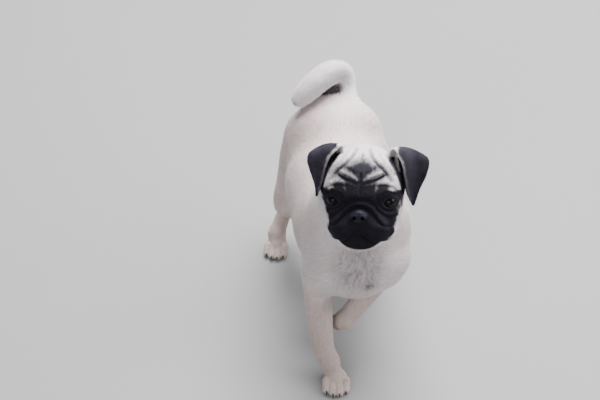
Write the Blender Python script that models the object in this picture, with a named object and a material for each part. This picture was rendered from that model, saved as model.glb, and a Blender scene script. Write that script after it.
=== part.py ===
"""A young pug in mid-stride, life size, as a still museum model.

Metres, +Z up. The dog faces -Y and its left side is at +X. The origin is the middle of its box, on the floor.
The flesh is one smooth form, made of blended muscles, and is then parted with thin cuts.
"""

import math

import bmesh
import bpy
import numpy as np
from mathutils import Matrix, Vector

CM = 0.01

# Driving sizes
GAP = 0.0003  # between nodes that touch
SEED_VOXEL = 0.0023  # grid of the mesh that is pressed to the form
HEAD_REACH = 0.068  # the grid is twice as fine this near the head's middle
FLESH_FACES = 42000  # triangles of the flesh before it is parted
FACES = {  # triangles of each node of flesh after that
    "torso": 2750, "neck": 1000, "head": 4100, "tail": 460, "foreleg_left": 640, "foreleg_right": 640,
    "forepaw_left": 460, "forepaw_right": 460, "hindleg_left": 700, "hindleg_right": 700,
    "hindpaw_left": 460, "hindpaw_right": 460,
}
SOLE_HEIGHT = 0.0  # the level of the floor
EYE_RADIUS = 0.0102
EYE_PLACE = (0.0352, -0.0310, -0.0020)  # the left eye's centre, in the head's own space
LID_THICKNESS = 0.0019
EYE_TURN = math.radians(12)
LID_OPENING = (0.0090, 0.0067)  # half the width and half the height of the slit between the lids
EAR_THICKNESS = 0.0030

# How the head is carried
HEAD_PLACE = (0.0053, -0.125, 0.325)
HEAD_LIFT = math.radians(23)  # nose up
HEAD_TURN = math.radians(13.8)  # nose to the dog's right
HEAD_TILT = math.radians(-3.4)  # crown to the dog's right

# Joints of the legs, each a place in centimetres and the radius of the limb there
FORELEG_LEFT = [(4.9, -9.4, 17.4, 2.7), (4.4, -7.8, 13.7, 2.1), (2.5, -8.9, 11.0, 1.8),
                (0.2, -10.2, 8.5, 1.5), (-1.5, -11.0, 7.0, 1.45)]
FORELEG_RIGHT = [(-4.5, -10.4, 16.5, 2.75), (-4.95, -9.6, 12.4, 2.1), (-5.0, -12.0, 8.4, 1.85),
                 (-4.75, -14.0, 5.4, 1.6), (-4.0, -15.1, 3.4, 1.4)]
HINDLEG_LEFT = [(4.4, 9.6, 17.5, 3.4), (5.4, 5.4, 12.4, 2.9), (5.4, 7.4, 9.4, 1.9),
                (5.2, 10.2, 6.6, 1.25), (5.2, 9.8, 4.6, 1.15), (5.5, 7.8, 2.4, 1.15)]
HINDLEG_RIGHT = [(-4.6, 11.6, 17.4, 3.4), (-6.7, 9.0, 12.8, 2.8), (-7.0, 11.6, 9.4, 1.9),
                 (-7.0, 14.2, 6.6, 1.25), (-7.7, 13.9, 4.6, 1.15), (-8.7, 12.8, 2.4, 1.15)]

# Each paw: the joint that it hangs from, the middle of its toes, and how far it is pitched and turned
PAWS = {
    "forepaw_left": {"wrist": (-1.5, -11.0, 7.0), "toes": (-1.7, -8.9, 4.7), "pitch": 138, "turn": 4},
    "forepaw_right": {"wrist": (-4.0, -15.1, 3.4), "toes": (-3.2, -17.0, 1.05), "pitch": 0, "turn": -6},
    "hindpaw_left": {"wrist": (5.5, 7.8, 2.4), "toes": (5.8, 5.6, 1.0), "pitch": 0, "turn": 8},
    "hindpaw_right": {"wrist": (-8.7, 12.8, 2.4), "toes": (-8.9, 11.2, 1.0), "pitch": 0, "turn": -16},
}
TOE_RADIUS = 0.66 * CM
TOE_SPACING = 0.86 * CM

TAIL = [(1.0, 14.2, 22.6, 1.8), (1.9, 16.4, 25.6, 1.35), (1.95, 17.2, 28.0, 1.2), (1.1, 17.0, 29.35, 1.42),
        (-0.5, 16.0, 29.95, 1.62), (-2.4, 14.8, 29.55, 1.62), (-4.0, 14.0, 28.5, 1.5), (-5.0, 13.5, 27.75, 1.12)]
REACH = 0.03  # how far from a limb its field is worked out
STROKE_METRIC = np.array([1.0, 0.45, 1.0])


def place(*centimetres):
    """A place or a set of sizes given in centimetres, in metres."""
    return np.array(centimetres, float) * CM


# The fields: each gives the distance from a point to a form, below zero inside it

def ellipsoid(points, centre, radii, tilt=0.0):
    """Distance to an ellipsoid, tilted about the X axis."""
    local = points - centre
    if tilt:
        c, s = math.cos(tilt), math.sin(tilt)
        local = np.stack([local[:, 0], c * local[:, 1] + s * local[:, 2], c * local[:, 2] - s * local[:, 1]], 1)
    scaled = local / radii
    reach = np.linalg.norm(scaled, axis=1)
    slope = np.linalg.norm(scaled / radii, axis=1)
    return reach * (reach - 1) / np.maximum(slope, 1e-6)


def tapered(points, start, end, start_radius, end_radius):
    """Distance to a rounded cone between two places."""
    axis = end - start
    along = np.clip((points - start) @ axis / (axis @ axis), 0, 1)
    nearest = start + along[:, None] * axis
    return np.linalg.norm(points - nearest, axis=1) - (start_radius + along * (end_radius - start_radius))


def blended(first, second, width):
    """Union of two fields with a soft fillet of about that width."""
    mix = np.clip(0.5 + 0.5 * (second - first) / width, 0, 1)
    return second + (first - second) * mix - width * mix * (1 - mix)


def carved(field, hollow, width):
    """The first field with the second cut out of it, the rim softened."""
    return -blended(-field, hollow, width)


def smooth_path(stations, steps):
    """Catmull-Rom points through the stations, each a place and any further values."""
    rows = np.array(stations, float)
    rows = np.vstack([2 * rows[0] - rows[1], rows, 2 * rows[-1] - rows[-2]])
    made = []
    for i in range(1, len(rows) - 2):
        before, a, b, after = rows[i - 1:i + 3]
        for t in np.linspace(0, 1, steps, endpoint=False):
            made.append(0.5 * (2 * a + (b - before) * t + (2 * before - 5 * a + 4 * b - after) * t * t
                               + (3 * a - before - 3 * b + after) * t ** 3))
    made.append(rows[-2])
    return np.array(made)


def limb(points, stations, steps=4):
    """Distance to a limb of round section that follows the stations, given in centimetres."""
    path = smooth_path(stations, steps) * CM
    return along(points, path[:, :3], path[:, 3], REACH)


def along(points, path, radii, reach):
    """Distance to the path less its radius, worked out only near it; far away it is at least the reach."""
    margin = radii.max() + reach
    low, high = path.min(0) - margin, path.max(0) + margin
    outside = np.linalg.norm(np.maximum(0, np.maximum(low - points, points - high)), axis=1)
    field = outside + reach
    near = outside == 0
    if near.any():
        chosen = points[near]
        closest = np.full(len(chosen), reach * 2 + 1.0)
        for i in range(len(path) - 1):
            closest = np.minimum(closest, tapered(chosen, path[i], path[i + 1], radii[i], radii[i + 1]))
        field[near] = closest
    return field


def stroke(points, stations, height, width):
    """A fold that stands up by the height, or a crease where the height is below zero.

    The path need only be near the surface, since depth counts for less than the rest.
    """
    path = smooth_path(stations, 5) * CM * STROKE_METRIC
    distance = along(points * STROKE_METRIC, path, np.zeros(len(path)), 3 * width)
    return -height * np.exp(-(distance / width) ** 2)


# The trunk

TRUNK = [  # centre and radii in centimetres
    ((0.1, -2.6, 18.3), (7.9, 10.6, 7.4)),  # ribs
    ((0.2, -10.2, 18.0), (6.2, 4.8, 6.0)),  # forechest
    ((-0.3, 4.4, 18.6), (7.85, 8.8, 6.8)),  # belly and loin
    ((-0.35, 12.4, 20.8), (7.25, 6.1, 6.4)),  # pelvis
]
SHOULDERS = [((5.2, -6.4, 20.2), (2.9, 4.4, 5.2)), ((4.5, -9.4, 16.6), (2.3, 3.2, 3.8)),
             ((-4.3, -9.2, 17.8), (2.5, 3.8, 5.4))]
HAUNCHES = [((4.6, 9.4, 17.2), (2.9, 4.8, 5.4)), ((-4.9, 11.0, 17.0), (2.9, 4.8, 5.4)),
            ((-0.4, 14.9, 24.85), (2.4, 2.1, 2.1))]  # the last is the rise under the tail
NECK = [(0.1, -4.8, 20.2, 6.8), (0.1, -8.0, 25.0, 6.5), (0.15, -10.6, 29.2, 5.6), (0.4, -11.8, 32.0, 4.9)]
TRUNK_BLEND = 0.022
LEG_BLEND = 0.016


def trunk_field(points):
    field = None
    for centre, radii in TRUNK:
        piece = ellipsoid(points, place(*centre), place(*radii))
        field = piece if field is None else blended(field, piece, TRUNK_BLEND)
    for centre, radii in SHOULDERS + HAUNCHES:
        field = blended(field, ellipsoid(points, place(*centre), place(*radii)), LEG_BLEND)
    return blended(field, limb(points, NECK), TRUNK_BLEND)


# The paws

def paw_frame(paw):
    """The matrix that sets a paw, whose toes point along -Y, in its place."""
    turn = Matrix.Rotation(math.radians(paw["turn"]), 4, "Z")
    pitch = Matrix.Rotation(math.radians(paw["pitch"]), 4, "X")
    return Matrix.Translation(Vector(place(*paw["toes"]))) @ turn @ pitch


def into(points, matrix):
    """The points as the matrix's own space sees them."""
    inverse = np.array(matrix.inverted())
    return points @ inverse[:3, :3].T + inverse[:3, 3]


def paw_field(points, paw, size):
    """Pad of the foot, four toes, and the pastern up to the joint above."""
    local = into(points, paw_frame(paw))
    wrist = into(place(*paw["wrist"])[None, :], paw_frame(paw))[0]
    field = ellipsoid(local, place(0, 0.7, -0.1) * size, place(1.55, 1.5, 1.05) * size)
    field = blended(field, tapered(local, wrist, place(0, 0.5, 0.25) * size, 1.25 * CM, 1.05 * CM), 0.010)
    for number in range(4):
        side = number - 1.5
        front = 1.75 if abs(side) < 1 else 1.25
        knuckle = np.array([side * TOE_SPACING, -0.1 * CM, 0.20 * CM]) * size
        tip = np.array([side * TOE_SPACING * 1.04, -front * CM, -0.42 * CM]) * size
        toe = tapered(local, knuckle, tip, TOE_RADIUS * size, TOE_RADIUS * 0.86 * size)
        field = blended(field, toe, 0.0025)
    return field


def legs_field(points):
    """The trunk with each leg blended into it, the legs not blended into each other."""
    trunk = trunk_field(points)
    whole = trunk
    legs = ((FORELEG_LEFT, "forepaw_left", 1.0), (FORELEG_RIGHT, "forepaw_right", 1.0),
            (HINDLEG_LEFT, "hindpaw_left", 0.95), (HINDLEG_RIGHT, "hindpaw_right", 0.95))
    for stations, paw, size in legs:
        leg = blended(limb(points, stations), paw_field(points, PAWS[paw], size), 0.006)
        whole = np.minimum(whole, blended(trunk, leg, LEG_BLEND))
    return whole


def tail_field(points, trunk):
    """The tail's root is blended into the rump, and its curl hangs free."""
    root = blended(trunk, limb(points, TAIL[:3]), 0.018)
    return np.minimum(root, limb(points, TAIL))


# The head, in its own space: the nose at -Y, the middle of the skull at the origin

def head_matrix():
    turn = Matrix.Rotation(-HEAD_TURN, 4, "Z")
    lift = Matrix.Rotation(-HEAD_LIFT, 4, "X")
    tilt = Matrix.Rotation(HEAD_TILT, 4, "Y")
    return Matrix.Translation(Vector(HEAD_PLACE)) @ turn @ lift @ tilt


SKULL = [  # centre, radii, blend, in centimetres; those off the middle are on both sides
    ((0.0, 0.2, 1.2), (4.8, 4.9, 4.9), 1.5),  # braincase
    ((2.65, -0.6, 0.7), (2.55, 3.6, 4.0), 1.5),  # temple
    ((0.0, -2.2, 2.2), (3.9, 2.4, 3.2), 1.5),  # forehead
    ((2.6, -1.4, -2.4), (2.35, 2.8, 2.9), 1.4),  # cheek
    ((0.0, -1.0, -3.0), (3.4, 3.2, 2.7), 1.4),  # throat
    ((0.0, -3.2, -2.8), (3.5, 2.3, 2.6), 1.0),  # muzzle
    ((2.75, -2.5, -4.35), (1.7, 2.0, 1.5), 0.9),  # corner of the mouth
    ((0.0, -3.75, -5.4), (2.5, 1.5, 1.3), 0.6),  # chin
    ((1.8, -4.15, -3.65), (1.95, 1.6, 1.95), 0.5),  # upper lip
    ((2.75, -3.45, 1.15), (1.5, 0.85, 0.75), 0.8),  # brow
    ((4.7, 0.8, 3.1), (1.3, 1.2, 2.2), 0.8),  # root of the ear
]

HEAD_STROKES = [  # path over the left side, then height and width, all in centimetres
    ([(0.0, -5.1, -0.15), (0.7, -5.0, -0.25), (1.35, -4.9, -0.6), (1.9, -4.85, -1.15), (2.5, -4.95, -1.85),
      (3.2, -4.8, -2.7)], 0.26, 0.38),  # roll over the nose
    ([(0.0, -4.9, -0.7), (0.75, -4.9, -0.8), (1.35, -4.95, -1.15), (1.9, -5.1, -1.7), (2.4, -5.2, -2.3),
      (3.1, -5.0, -2.95), (3.7, -4.4, -3.4)], -0.20, 0.25),  # crease under it
    ([(0.0, -4.9, 0.35), (0.8, -4.8, 0.2), (1.5, -4.7, -0.3), (2.2, -4.7, -0.95), (2.9, -4.8, -1.6)],
     -0.14, 0.32),  # crease over it
    ([(2.65, -4.0, 3.86), (1.8, -4.5, 3.6), (1.0, -4.7, 3.25), (0.35, -4.8, 2.88)], 0.20, 0.34),  # frown fold
    ([(2.75, -4.0, 3.25), (2.05, -4.3, 2.94), (1.15, -4.7, 2.7), (0.5, -4.9, 2.4)], -0.13, 0.26),  # crease under it
    ([(2.3, -3.8, 4.5), (1.3, -4.1, 4.1), (0.5, -4.3, 3.6)], -0.10, 0.26),  # crease over it
    ([(0.9, -1.1, 5.9), (1.26, -2.7, 5.4), (1.9, -3.3, 4.75), (2.65, -3.7, 4.1), (3.25, -3.7, 3.4),
      (3.7, -3.8, 2.5)], -0.15, 0.27),  # crown crease
    ([(0.0, -4.2, 4.0), (0.0, -4.5, 2.7), (0.0, -4.7, 1.0)], -0.22, 0.26),  # furrow between the eyes
    ([(2.3, -4.1, 0.1), (2.7, -4.1, 1.0), (3.7, -3.8, 1.35), (4.7, -3.0, 0.7)], -0.10, 0.22),  # over the eye
    ([(2.3, -4.3, -0.4), (2.8, -4.3, -1.0), (3.5, -4.0, -1.35), (4.2, -3.6, -1.3)], -0.10, 0.26),  # under it
    ([(0.0, -5.9, -2.2), (0.0, -5.8, -3.0), (0.0, -5.7, -3.9)], -0.24, 0.20),  # furrow of the upper lip
    ([(0.0, -5.4, -3.95), (0.85, -5.3, -4.5), (1.65, -5.1, -5.1), (2.5, -4.6, -5.4), (3.3, -4.0, -5.25),
      (4.1, -3.0, -4.6)], -0.34, 0.26),  # line of the mouth
]


EAR_CUP = {"centre": (4.75, -0.6, 3.9), "radii": (0.75, 1.0, 1.1)}  # the hollow under the ear's fold
MUZZLE_LEAN = 0.10


def head_field(points):
    """Distance to the head, for points in its own space."""
    field = np.linalg.norm(points, axis=1) - 0.075 + REACH
    near = field < 0.035 + REACH
    field[near] = near_head(points[near])
    return field


def leaned(points):
    """The head's left half stands for both, and the muzzle leans a little to its right."""
    lean = MUZZLE_LEAN * np.clip(-points[:, 2], 0, 0.022) * np.clip(2 - np.abs(points[:, 0]) / 0.022, 0, 1)
    return np.stack([np.abs(points[:, 0] + lean), points[:, 1], points[:, 2]], 1)


def near_head(points):
    mirrored = leaned(points)
    field = None
    for centre, radii, width in SKULL:
        piece = ellipsoid(mirrored, place(*centre), place(*radii))
        field = piece if field is None else blended(field, piece, width * CM)
    lids = np.linalg.norm(mirrored - np.array(EYE_PLACE), axis=1) - EYE_RADIUS - LID_THICKNESS
    field = blended(field, lids, 0.45 * CM)
    for path, height, width in HEAD_STROKES:
        field = field + stroke(mirrored, path, height * CM, width * CM)
    return carved(field, ellipsoid(mirrored, place(*EAR_CUP["centre"]), place(*EAR_CUP["radii"])), 0.0040)


def flesh_field(points):
    """Distance to the whole dog without its ears, eyes, nose leather and claws."""
    trunk = legs_field(points)
    body = tail_field(points, trunk)
    head = head_field(into(points, head_matrix()))
    return blended(body, head, 0.016)


# Making the mesh

def clear_scene():
    for obj in list(bpy.data.objects):
        bpy.data.objects.remove(obj, do_unlink=True)


def new_object(name, mesh):
    obj = bpy.data.objects.new(name, mesh)
    bpy.context.scene.collection.objects.link(obj)
    return obj


def object_of(name, bm):
    mesh = bpy.data.meshes.new(name)
    bm.to_mesh(mesh)
    bm.free()
    return new_object(name, mesh)


def apply_modifiers(obj):
    """The object's mesh as its modifiers leave it."""
    graph = bpy.context.evaluated_depsgraph_get()
    made = bpy.data.meshes.new_from_object(obj.evaluated_get(graph))
    obj.modifiers.clear()
    obj.data = made
    return obj


def add_ball(bm, matrix):
    bmesh.ops.create_icosphere(bm, subdivisions=3, radius=1, matrix=matrix)


def ball_matrix(centre, radii):
    return Matrix.Translation(Vector(centre)) @ Matrix.Diagonal(Vector((*radii, 1)))


def seed_mesh():
    """Plain balls along every muscle, which the voxel remesh then joins."""
    bm = bmesh.new()
    for centre, radii in TRUNK + SHOULDERS + HAUNCHES:
        add_ball(bm, ball_matrix(place(*centre), place(*radii)))
    for stations in (FORELEG_LEFT, FORELEG_RIGHT, HINDLEG_LEFT, HINDLEG_RIGHT, NECK, TAIL):
        for row in smooth_path(stations, 8) * CM:
            add_ball(bm, ball_matrix(row[:3], (row[3],) * 3))
    for paw in PAWS.values():
        frame = paw_frame(paw)
        add_ball(bm, frame @ ball_matrix(place(0, 0.1, 0), place(1.7, 2.0, 1.0)))
        for number in range(4):
            side = number - 1.5
            front = 1.60 if abs(side) < 1 else 1.10
            add_ball(bm, frame @ ball_matrix((side * TOE_SPACING, -front * CM, -0.35 * CM), (TOE_RADIUS * 0.85,) * 3))
        add_ball(bm, ball_matrix(place(*paw["wrist"]) * 0.5 + place(*paw["toes"]) * 0.5, place(1.1, 1.1, 1.1)))
    head = head_matrix()
    for centre, radii, _ in SKULL:
        for side in (1, -1):
            add_ball(bm, head @ ball_matrix(place(centre[0] * side, *centre[1:]), place(*radii)))
    for side in (1, -1):
        eye = (EYE_PLACE[0] * side, *EYE_PLACE[1:])
        add_ball(bm, head @ ball_matrix(eye, (EYE_RADIUS + LID_THICKNESS,) * 3))
    return object_of("flesh", bm)


def coordinates(mesh):
    points = np.empty(len(mesh.vertices) * 3, np.float32)
    mesh.vertices.foreach_get("co", points)
    return points.reshape(-1, 3).astype(float)


def set_coordinates(mesh, points):
    mesh.vertices.foreach_set("co", points.astype(np.float32).ravel())
    mesh.update()


def edge_ends(mesh):
    ends = np.empty(len(mesh.edges) * 2, np.int32)
    mesh.edges.foreach_get("vertices", ends)
    return ends.reshape(-1, 2)


def relaxed(points, ends, share):
    """Each point moved by that share towards the mean of its neighbours."""
    total = np.zeros_like(points)
    count = np.zeros(len(points))
    for a, b in ((0, 1), (1, 0)):
        np.add.at(total, ends[:, a], points[ends[:, b]])
        np.add.at(count, ends[:, a], 1)
    return points + share * (total / np.maximum(count, 1)[:, None] - points)


def pressed(points, field, step=0.0004):
    """Each point moved along the field's slope on to the form."""
    distance = field(points)
    slope = np.empty_like(points)
    for axis in range(3):
        shift = np.zeros(3)
        shift[axis] = step
        slope[:, axis] = (field(points + shift) - distance) / step
    size = np.maximum((slope ** 2).sum(1), 0.2)
    move = np.clip(distance, -0.006, 0.006) / size
    return points - move[:, None] * slope


def press(obj, field, rounds):
    ends = edge_ends(obj.data)
    points = coordinates(obj.data)
    for number in range(rounds):
        if number:
            points = relaxed(points, ends, 0.5)
        points = pressed(points, field)
    set_coordinates(obj.data, relaxed(pressed(points, field), ends, 0.25))


def make_flesh():
    flesh = seed_mesh()
    remesh = flesh.modifiers.new("one surface", "REMESH")
    remesh.mode = "VOXEL"
    remesh.voxel_size = SEED_VOXEL
    apply_modifiers(flesh)
    refine(flesh, HEAD_PLACE, HEAD_REACH)
    press(flesh, flesh_field, 4)
    return flesh


def refine(obj, centre, reach):
    """Every face near the centre is quartered."""
    bm = bmesh.new()
    bm.from_mesh(obj.data)
    near = {vertex for vertex in bm.verts if (vertex.co - Vector(centre)).length < reach}
    edges = [edge for edge in bm.edges if edge.verts[0] in near and edge.verts[1] in near]
    bmesh.ops.subdivide_edges(bm, edges=edges, cuts=1, use_grid_fill=True)
    bmesh.ops.triangulate(bm, faces=[face for face in bm.faces if len(face.verts) > 4])
    bm.to_mesh(obj.data)
    bm.free()


def thinned(obj, faces, kept=None):
    """The mesh brought down to about that many triangles, with the kept vertices left as they are."""
    thin = obj.modifiers.new("thin", "DECIMATE")
    thin.ratio = faces / sum(len(polygon.vertices) - 2 for polygon in obj.data.polygons)
    thin.use_collapse_triangulate = True
    if kept is not None:
        group = obj.vertex_groups.new(name="free")
        group.add([int(i) for i in np.flatnonzero(~kept)], 1.0, "REPLACE")
        thin.vertex_group = group.name
        thin.vertex_group_factor = 1.0
    apply_modifiers(obj)
    obj.vertex_groups.clear()
    return obj


# The ears: each is a leaf of skin that rises behind the hollow, folds over it and hangs to its tip

EAR_EDGES = {  # from the root to the tip, the edge beside the face and the outer one, in the head's own centimetres
    1: ([(3.4, -0.8, 4.5), (3.3, -0.9, 5.5), (3.8, -1.0, 6.1), (4.75, -1.5, 5.15), (5.25, -1.8, 4.2),
         (5.55, -2.0, 2.8), (5.8, -2.1, 1.3), (6.1, -2.1, 0.0), (6.48, -2.1, -0.95)],
        [(4.1, 1.5, 2.9), (5.6, 1.3, 4.1), (7.1, 0.6, 4.95), (8.15, -0.1, 4.8), (8.4, -0.5, 4.0),
         (8.05, -1.0, 2.6), (7.35, -1.5, 1.1), (6.95, -1.8, -0.1), (6.68, -2.1, -0.95)]),
    -1: ([(-3.1, -0.8, 4.7), (-2.6, -0.9, 5.7), (-2.75, -1.0, 6.3), (-3.75, -1.5, 5.8), (-4.45, -1.8, 5.0),
          (-4.9, -2.0, 3.7), (-5.2, -2.1, 2.1), (-5.55, -2.1, 0.9), (-5.85, -2.1, -0.1)],
         [(-3.9, 1.5, 3.0), (-5.0, 1.3, 4.3), (-6.2, 0.6, 5.15), (-7.1, 0.0, 4.85), (-7.3, -0.4, 4.0),
          (-6.9, -0.9, 2.85), (-6.4, -1.4, 1.7), (-6.1, -1.8, 0.8), (-6.02, -2.1, -0.1)]),
}
EAR_BULGE = 0.13  # how far the leaf's middle stands out, as a share of its width
EAR_TURN_IN = 0.16  # the share of its width that turns in, towards the hollow, beyond that edge
EAR_COLUMNS = 9


def ear_sheet(side, columns):
    """A grid of points across and along the ear, and the outward direction at each."""
    inner, outer = (smooth_path(edge, 2) * CM for edge in EAR_EDGES[side])
    across = outer - inner
    width = np.linalg.norm(across, axis=1)[:, None]
    across /= width
    length = np.gradient(inner + outer, axis=0)
    outward = np.cross(length, across) * side
    outward /= np.linalg.norm(outward, axis=1)[:, None]
    down = np.linspace(0, 1, len(inner))[:, None]
    turn_in = EAR_TURN_IN * np.clip((down - 0.3) * 5, 0, 1) * np.clip((1 - down) * 6, 0, 1)
    places = []
    facing = []
    for column in np.linspace(0, 1, columns):
        share = column * (1 + turn_in) - turn_in
        leaf = share > 0
        over = np.where(leaf, share, share * 0.5)
        stand = np.where(leaf, EAR_BULGE * 4 * share * (1 - share), share * 1.6)
        slope = np.where(leaf, EAR_BULGE * 4 * (1 - 2 * share), 2.2)
        places.append(inner + (across * over + outward * stand) * width)
        facing.append(outward - across * slope)
    places, facing = np.array(places), np.array(facing)
    return places, facing / np.linalg.norm(facing, axis=2)[:, :, None]


def make_ear(side, grow=0.0):
    """A closed leaf of even thickness, thinner towards its edges; it can be grown by the gap around it."""
    places, facing = ear_sheet(side, EAR_COLUMNS)
    columns, rows = places.shape[:2]
    t = np.abs(np.linspace(-0.95, 1, columns))[:, None]
    s = np.linspace(0, 1, rows)[None, :]
    thick = EAR_THICKNESS * 0.5 * np.sqrt(np.clip(1.05 - t ** 4, 0.05, 1)) * np.sqrt(np.clip(1.08 - s ** 8, 0.08, 1))
    bm = bmesh.new()
    sheets = []
    for sheet in (places + facing * thick[:, :, None], places - facing * thick[:, :, None]):
        sheets.append([[bm.verts.new(sheet[i, j]) for j in range(rows)] for i in range(columns)])
    for number, sheet in enumerate(sheets):
        for i in range(columns - 1):
            for j in range(rows - 1):
                ring = [sheet[i][j], sheet[i + 1][j], sheet[i + 1][j + 1], sheet[i][j + 1]]
                bm.faces.new(ring if number else ring[::-1])
    rim = [(i, 0) for i in range(columns)] + [(columns - 1, j) for j in range(1, rows)]
    rim += [(i, rows - 1) for i in range(columns - 2, -1, -1)] + [(0, j) for j in range(rows - 2, 0, -1)]
    for (i, j), (m, n) in zip(rim, rim[1:] + rim[:1]):
        bm.faces.new([sheets[0][i][j], sheets[0][m][n], sheets[1][m][n], sheets[1][i][j]])
    bmesh.ops.recalc_face_normals(bm, faces=bm.faces)
    bmesh.ops.triangulate(bm, faces=bm.faces)
    bm.normal_update()
    if grow:
        moves = [(vertex, vertex.normal * grow * 1.3) for vertex in bm.verts]
        for vertex, move in moves:
            vertex.co += move
    bmesh.ops.transform(bm, matrix=head_matrix(), verts=bm.verts)
    return object_of("ear_left" if side > 0 else "ear_right", bm)


# The nose leather

def nose_field(points, nostrils=True):
    """Distance to the leather, for points in the head's own space."""
    mirrored = leaned(points)
    field = ellipsoid(mirrored, place(0, -5.30, -1.45), place(1.00, 0.85, 0.70))
    field = blended(field, ellipsoid(mirrored, place(0.76, -5.30, -1.68), place(0.52, 0.75, 0.52)), 0.0030)
    field = blended(field, ellipsoid(mirrored, place(0, -5.35, -2.05), place(0.55, 0.65, 0.42)), 0.0030)
    if not nostrils:
        return field
    field = carved(field, ellipsoid(mirrored, place(0.50, -6.05, -1.62), place(0.22, 0.45, 0.24)), 0.0008)
    field = carved(field, ellipsoid(mirrored, place(0.84, -5.90, -1.86), place(0.36, 0.36, 0.11)), 0.0008)
    return field + stroke(mirrored, [(0, -6.1, -0.9), (0, -6.2, -1.5), (0, -6.0, -2.5)], -0.0009, 0.0010)


def make_nose(name, grow, voxel, faces, nostrils):
    bm = bmesh.new()
    add_ball(bm, ball_matrix(place(-0.15, -5.30, -1.45), place(1.00, 0.85, 0.70)))
    for side in (1, -1):
        add_ball(bm, ball_matrix(place(0.76 * side - 0.15, -5.30, -1.68), place(0.52, 0.75, 0.52)))
    add_ball(bm, ball_matrix(place(-0.2, -5.35, -2.05), place(0.55, 0.65, 0.42)))
    nose = object_of(name, bm)
    remesh = nose.modifiers.new("one surface", "REMESH")
    remesh.mode = "VOXEL"
    remesh.voxel_size = voxel
    apply_modifiers(nose)
    press(nose, lambda points: nose_field(points, nostrils) - grow, 4)
    thinned(nose, faces)
    nose.data.transform(head_matrix())
    return nose


# The eyes

def eye_matrix(side):
    """The eye's own space, looking along -Y, a little outwards as a pug's eyes do."""
    turn = Matrix.Rotation(side * EYE_TURN, 4, "Z")
    return head_matrix() @ Matrix.Translation(Vector((EYE_PLACE[0] * side, *EYE_PLACE[1:]))) @ turn


def make_eye(side, grow=0.0):
    bm = bmesh.new()
    bmesh.ops.create_icosphere(bm, subdivisions=3, radius=EYE_RADIUS + grow, matrix=eye_matrix(side))
    return object_of("eye_left" if side > 0 else "eye_right", bm)


def make_slit(side):
    """The opening between the lids, as a prism with almond ends along the eye's gaze."""
    width, height = LID_OPENING
    bm = bmesh.new()
    rings = []
    for depth, spread in ((0.002, 0.92), (-0.022, 1.25)):
        ring = []
        for step in range(20):
            turn = math.tau * step / 20
            x = width * math.cos(turn) * spread
            z = height * math.sin(turn) * (1 - 0.22 * abs(math.cos(turn))) * spread
            lean = side * 0.10 * x
            ring.append(bm.verts.new((x, depth, z + lean)))
        rings.append(ring)
    bm.faces.new(rings[0])
    bm.faces.new(rings[1][::-1])
    for i in range(20):
        j = (i + 1) % 20
        bm.faces.new([rings[0][j], rings[0][i], rings[1][i], rings[1][j]])
    bmesh.ops.recalc_face_normals(bm, faces=bm.faces)
    bmesh.ops.transform(bm, matrix=eye_matrix(side), verts=bm.verts)
    return object_of("slit", bm)


# The claws

def make_claw(matrix, base, tip, radius):
    """A bent cone from its root inside the toe to its point."""
    bm = bmesh.new()
    sections = ((0.0, 1.0, 0.0), (0.5, 0.8, 0.10), (0.85, 0.42, 0.06), (1.0, 0.12, 0.0))
    rings = []
    for along_it, share, lift in sections:
        middle = base + (tip - base) * along_it + np.array([0, 0, lift * CM])
        ring = []
        for step in range(8):
            turn = math.tau * step / 8
            offset = np.array([math.cos(turn), -0.25 * math.sin(turn), math.sin(turn)])
            ring.append(bm.verts.new(middle + offset * radius * share))
        rings.append(ring)
    bm.faces.new(rings[0])
    bm.faces.new(rings[-1][::-1])
    for near, far in zip(rings[:-1], rings[1:]):
        for i in range(8):
            j = (i + 1) % 8
            bm.faces.new([near[j], near[i], far[i], far[j]])
    bmesh.ops.recalc_face_normals(bm, faces=bm.faces)
    bmesh.ops.triangulate(bm, faces=bm.faces)
    bmesh.ops.transform(bm, matrix=matrix, verts=bm.verts)
    return object_of("claw", bm)


def make_claws(name, size):
    frame = paw_frame(PAWS[name])
    made = []
    for number in range(4):
        side = number - 1.5
        front = (1.75 if abs(side) < 1 else 1.25) * size
        x = side * TOE_SPACING / CM * 1.04 * size
        base = place(x, -front - 0.10, -0.30 * size)
        tip = place(x * 1.02, -front - 0.95, -0.60 * size)
        made.append(make_claw(frame, base, tip, 0.20 * CM))
    return made


# Parting the flesh

def joined_with(obj, cutter, operation, solver="EXACT"):
    """The object after a Boolean with the cutter, which is then thrown away."""
    change = obj.modifiers.new(operation, "BOOLEAN")
    change.operation = operation
    change.solver = solver
    change.object = cutter
    apply_modifiers(obj)
    bpy.data.objects.remove(cutter, do_unlink=True)
    return obj


def on_planes(points, planes):
    """Which points lie on a cut face, each of them given by a corner and its two edges."""
    found = np.zeros(len(points), bool)
    for corner, first, second in planes:
        normal = np.cross(first, second)
        local = points - corner
        on = np.abs(local @ normal) < 0.00002 * np.linalg.norm(normal)
        for edge in (first, second):
            share = local @ edge / (edge @ edge)
            on &= (share > -0.001) & (share < 1.001)
        found |= on
    return found


def make_block(point, axis, sides, length, back, planes):
    """A box whose cut face is at the point and which runs along the axis, its sides spread evenly about it.

    The planes of its faces are added to the list.
    """
    turn = Vector(axis).to_track_quat("Z", "Y").to_matrix().to_4x4()
    size = Vector((2 * sides[0], 2 * sides[1], length + back, 1))
    bm = bmesh.new()
    bmesh.ops.create_cube(bm, size=1, matrix=Matrix.Translation((0, 0, (length - back) / 2)) @ Matrix.Diagonal(size))
    bmesh.ops.transform(bm, matrix=Matrix.Translation(Vector(point)) @ turn, verts=bm.verts)
    for face in bm.faces:
        a, b, _, d = (np.array(vertex.co) for vertex in face.verts)
        planes.append((a, b - a, d - a))
    return object_of("block", bm)


def copy_of(obj, name):
    return new_object(name, obj.data.copy())


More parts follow.
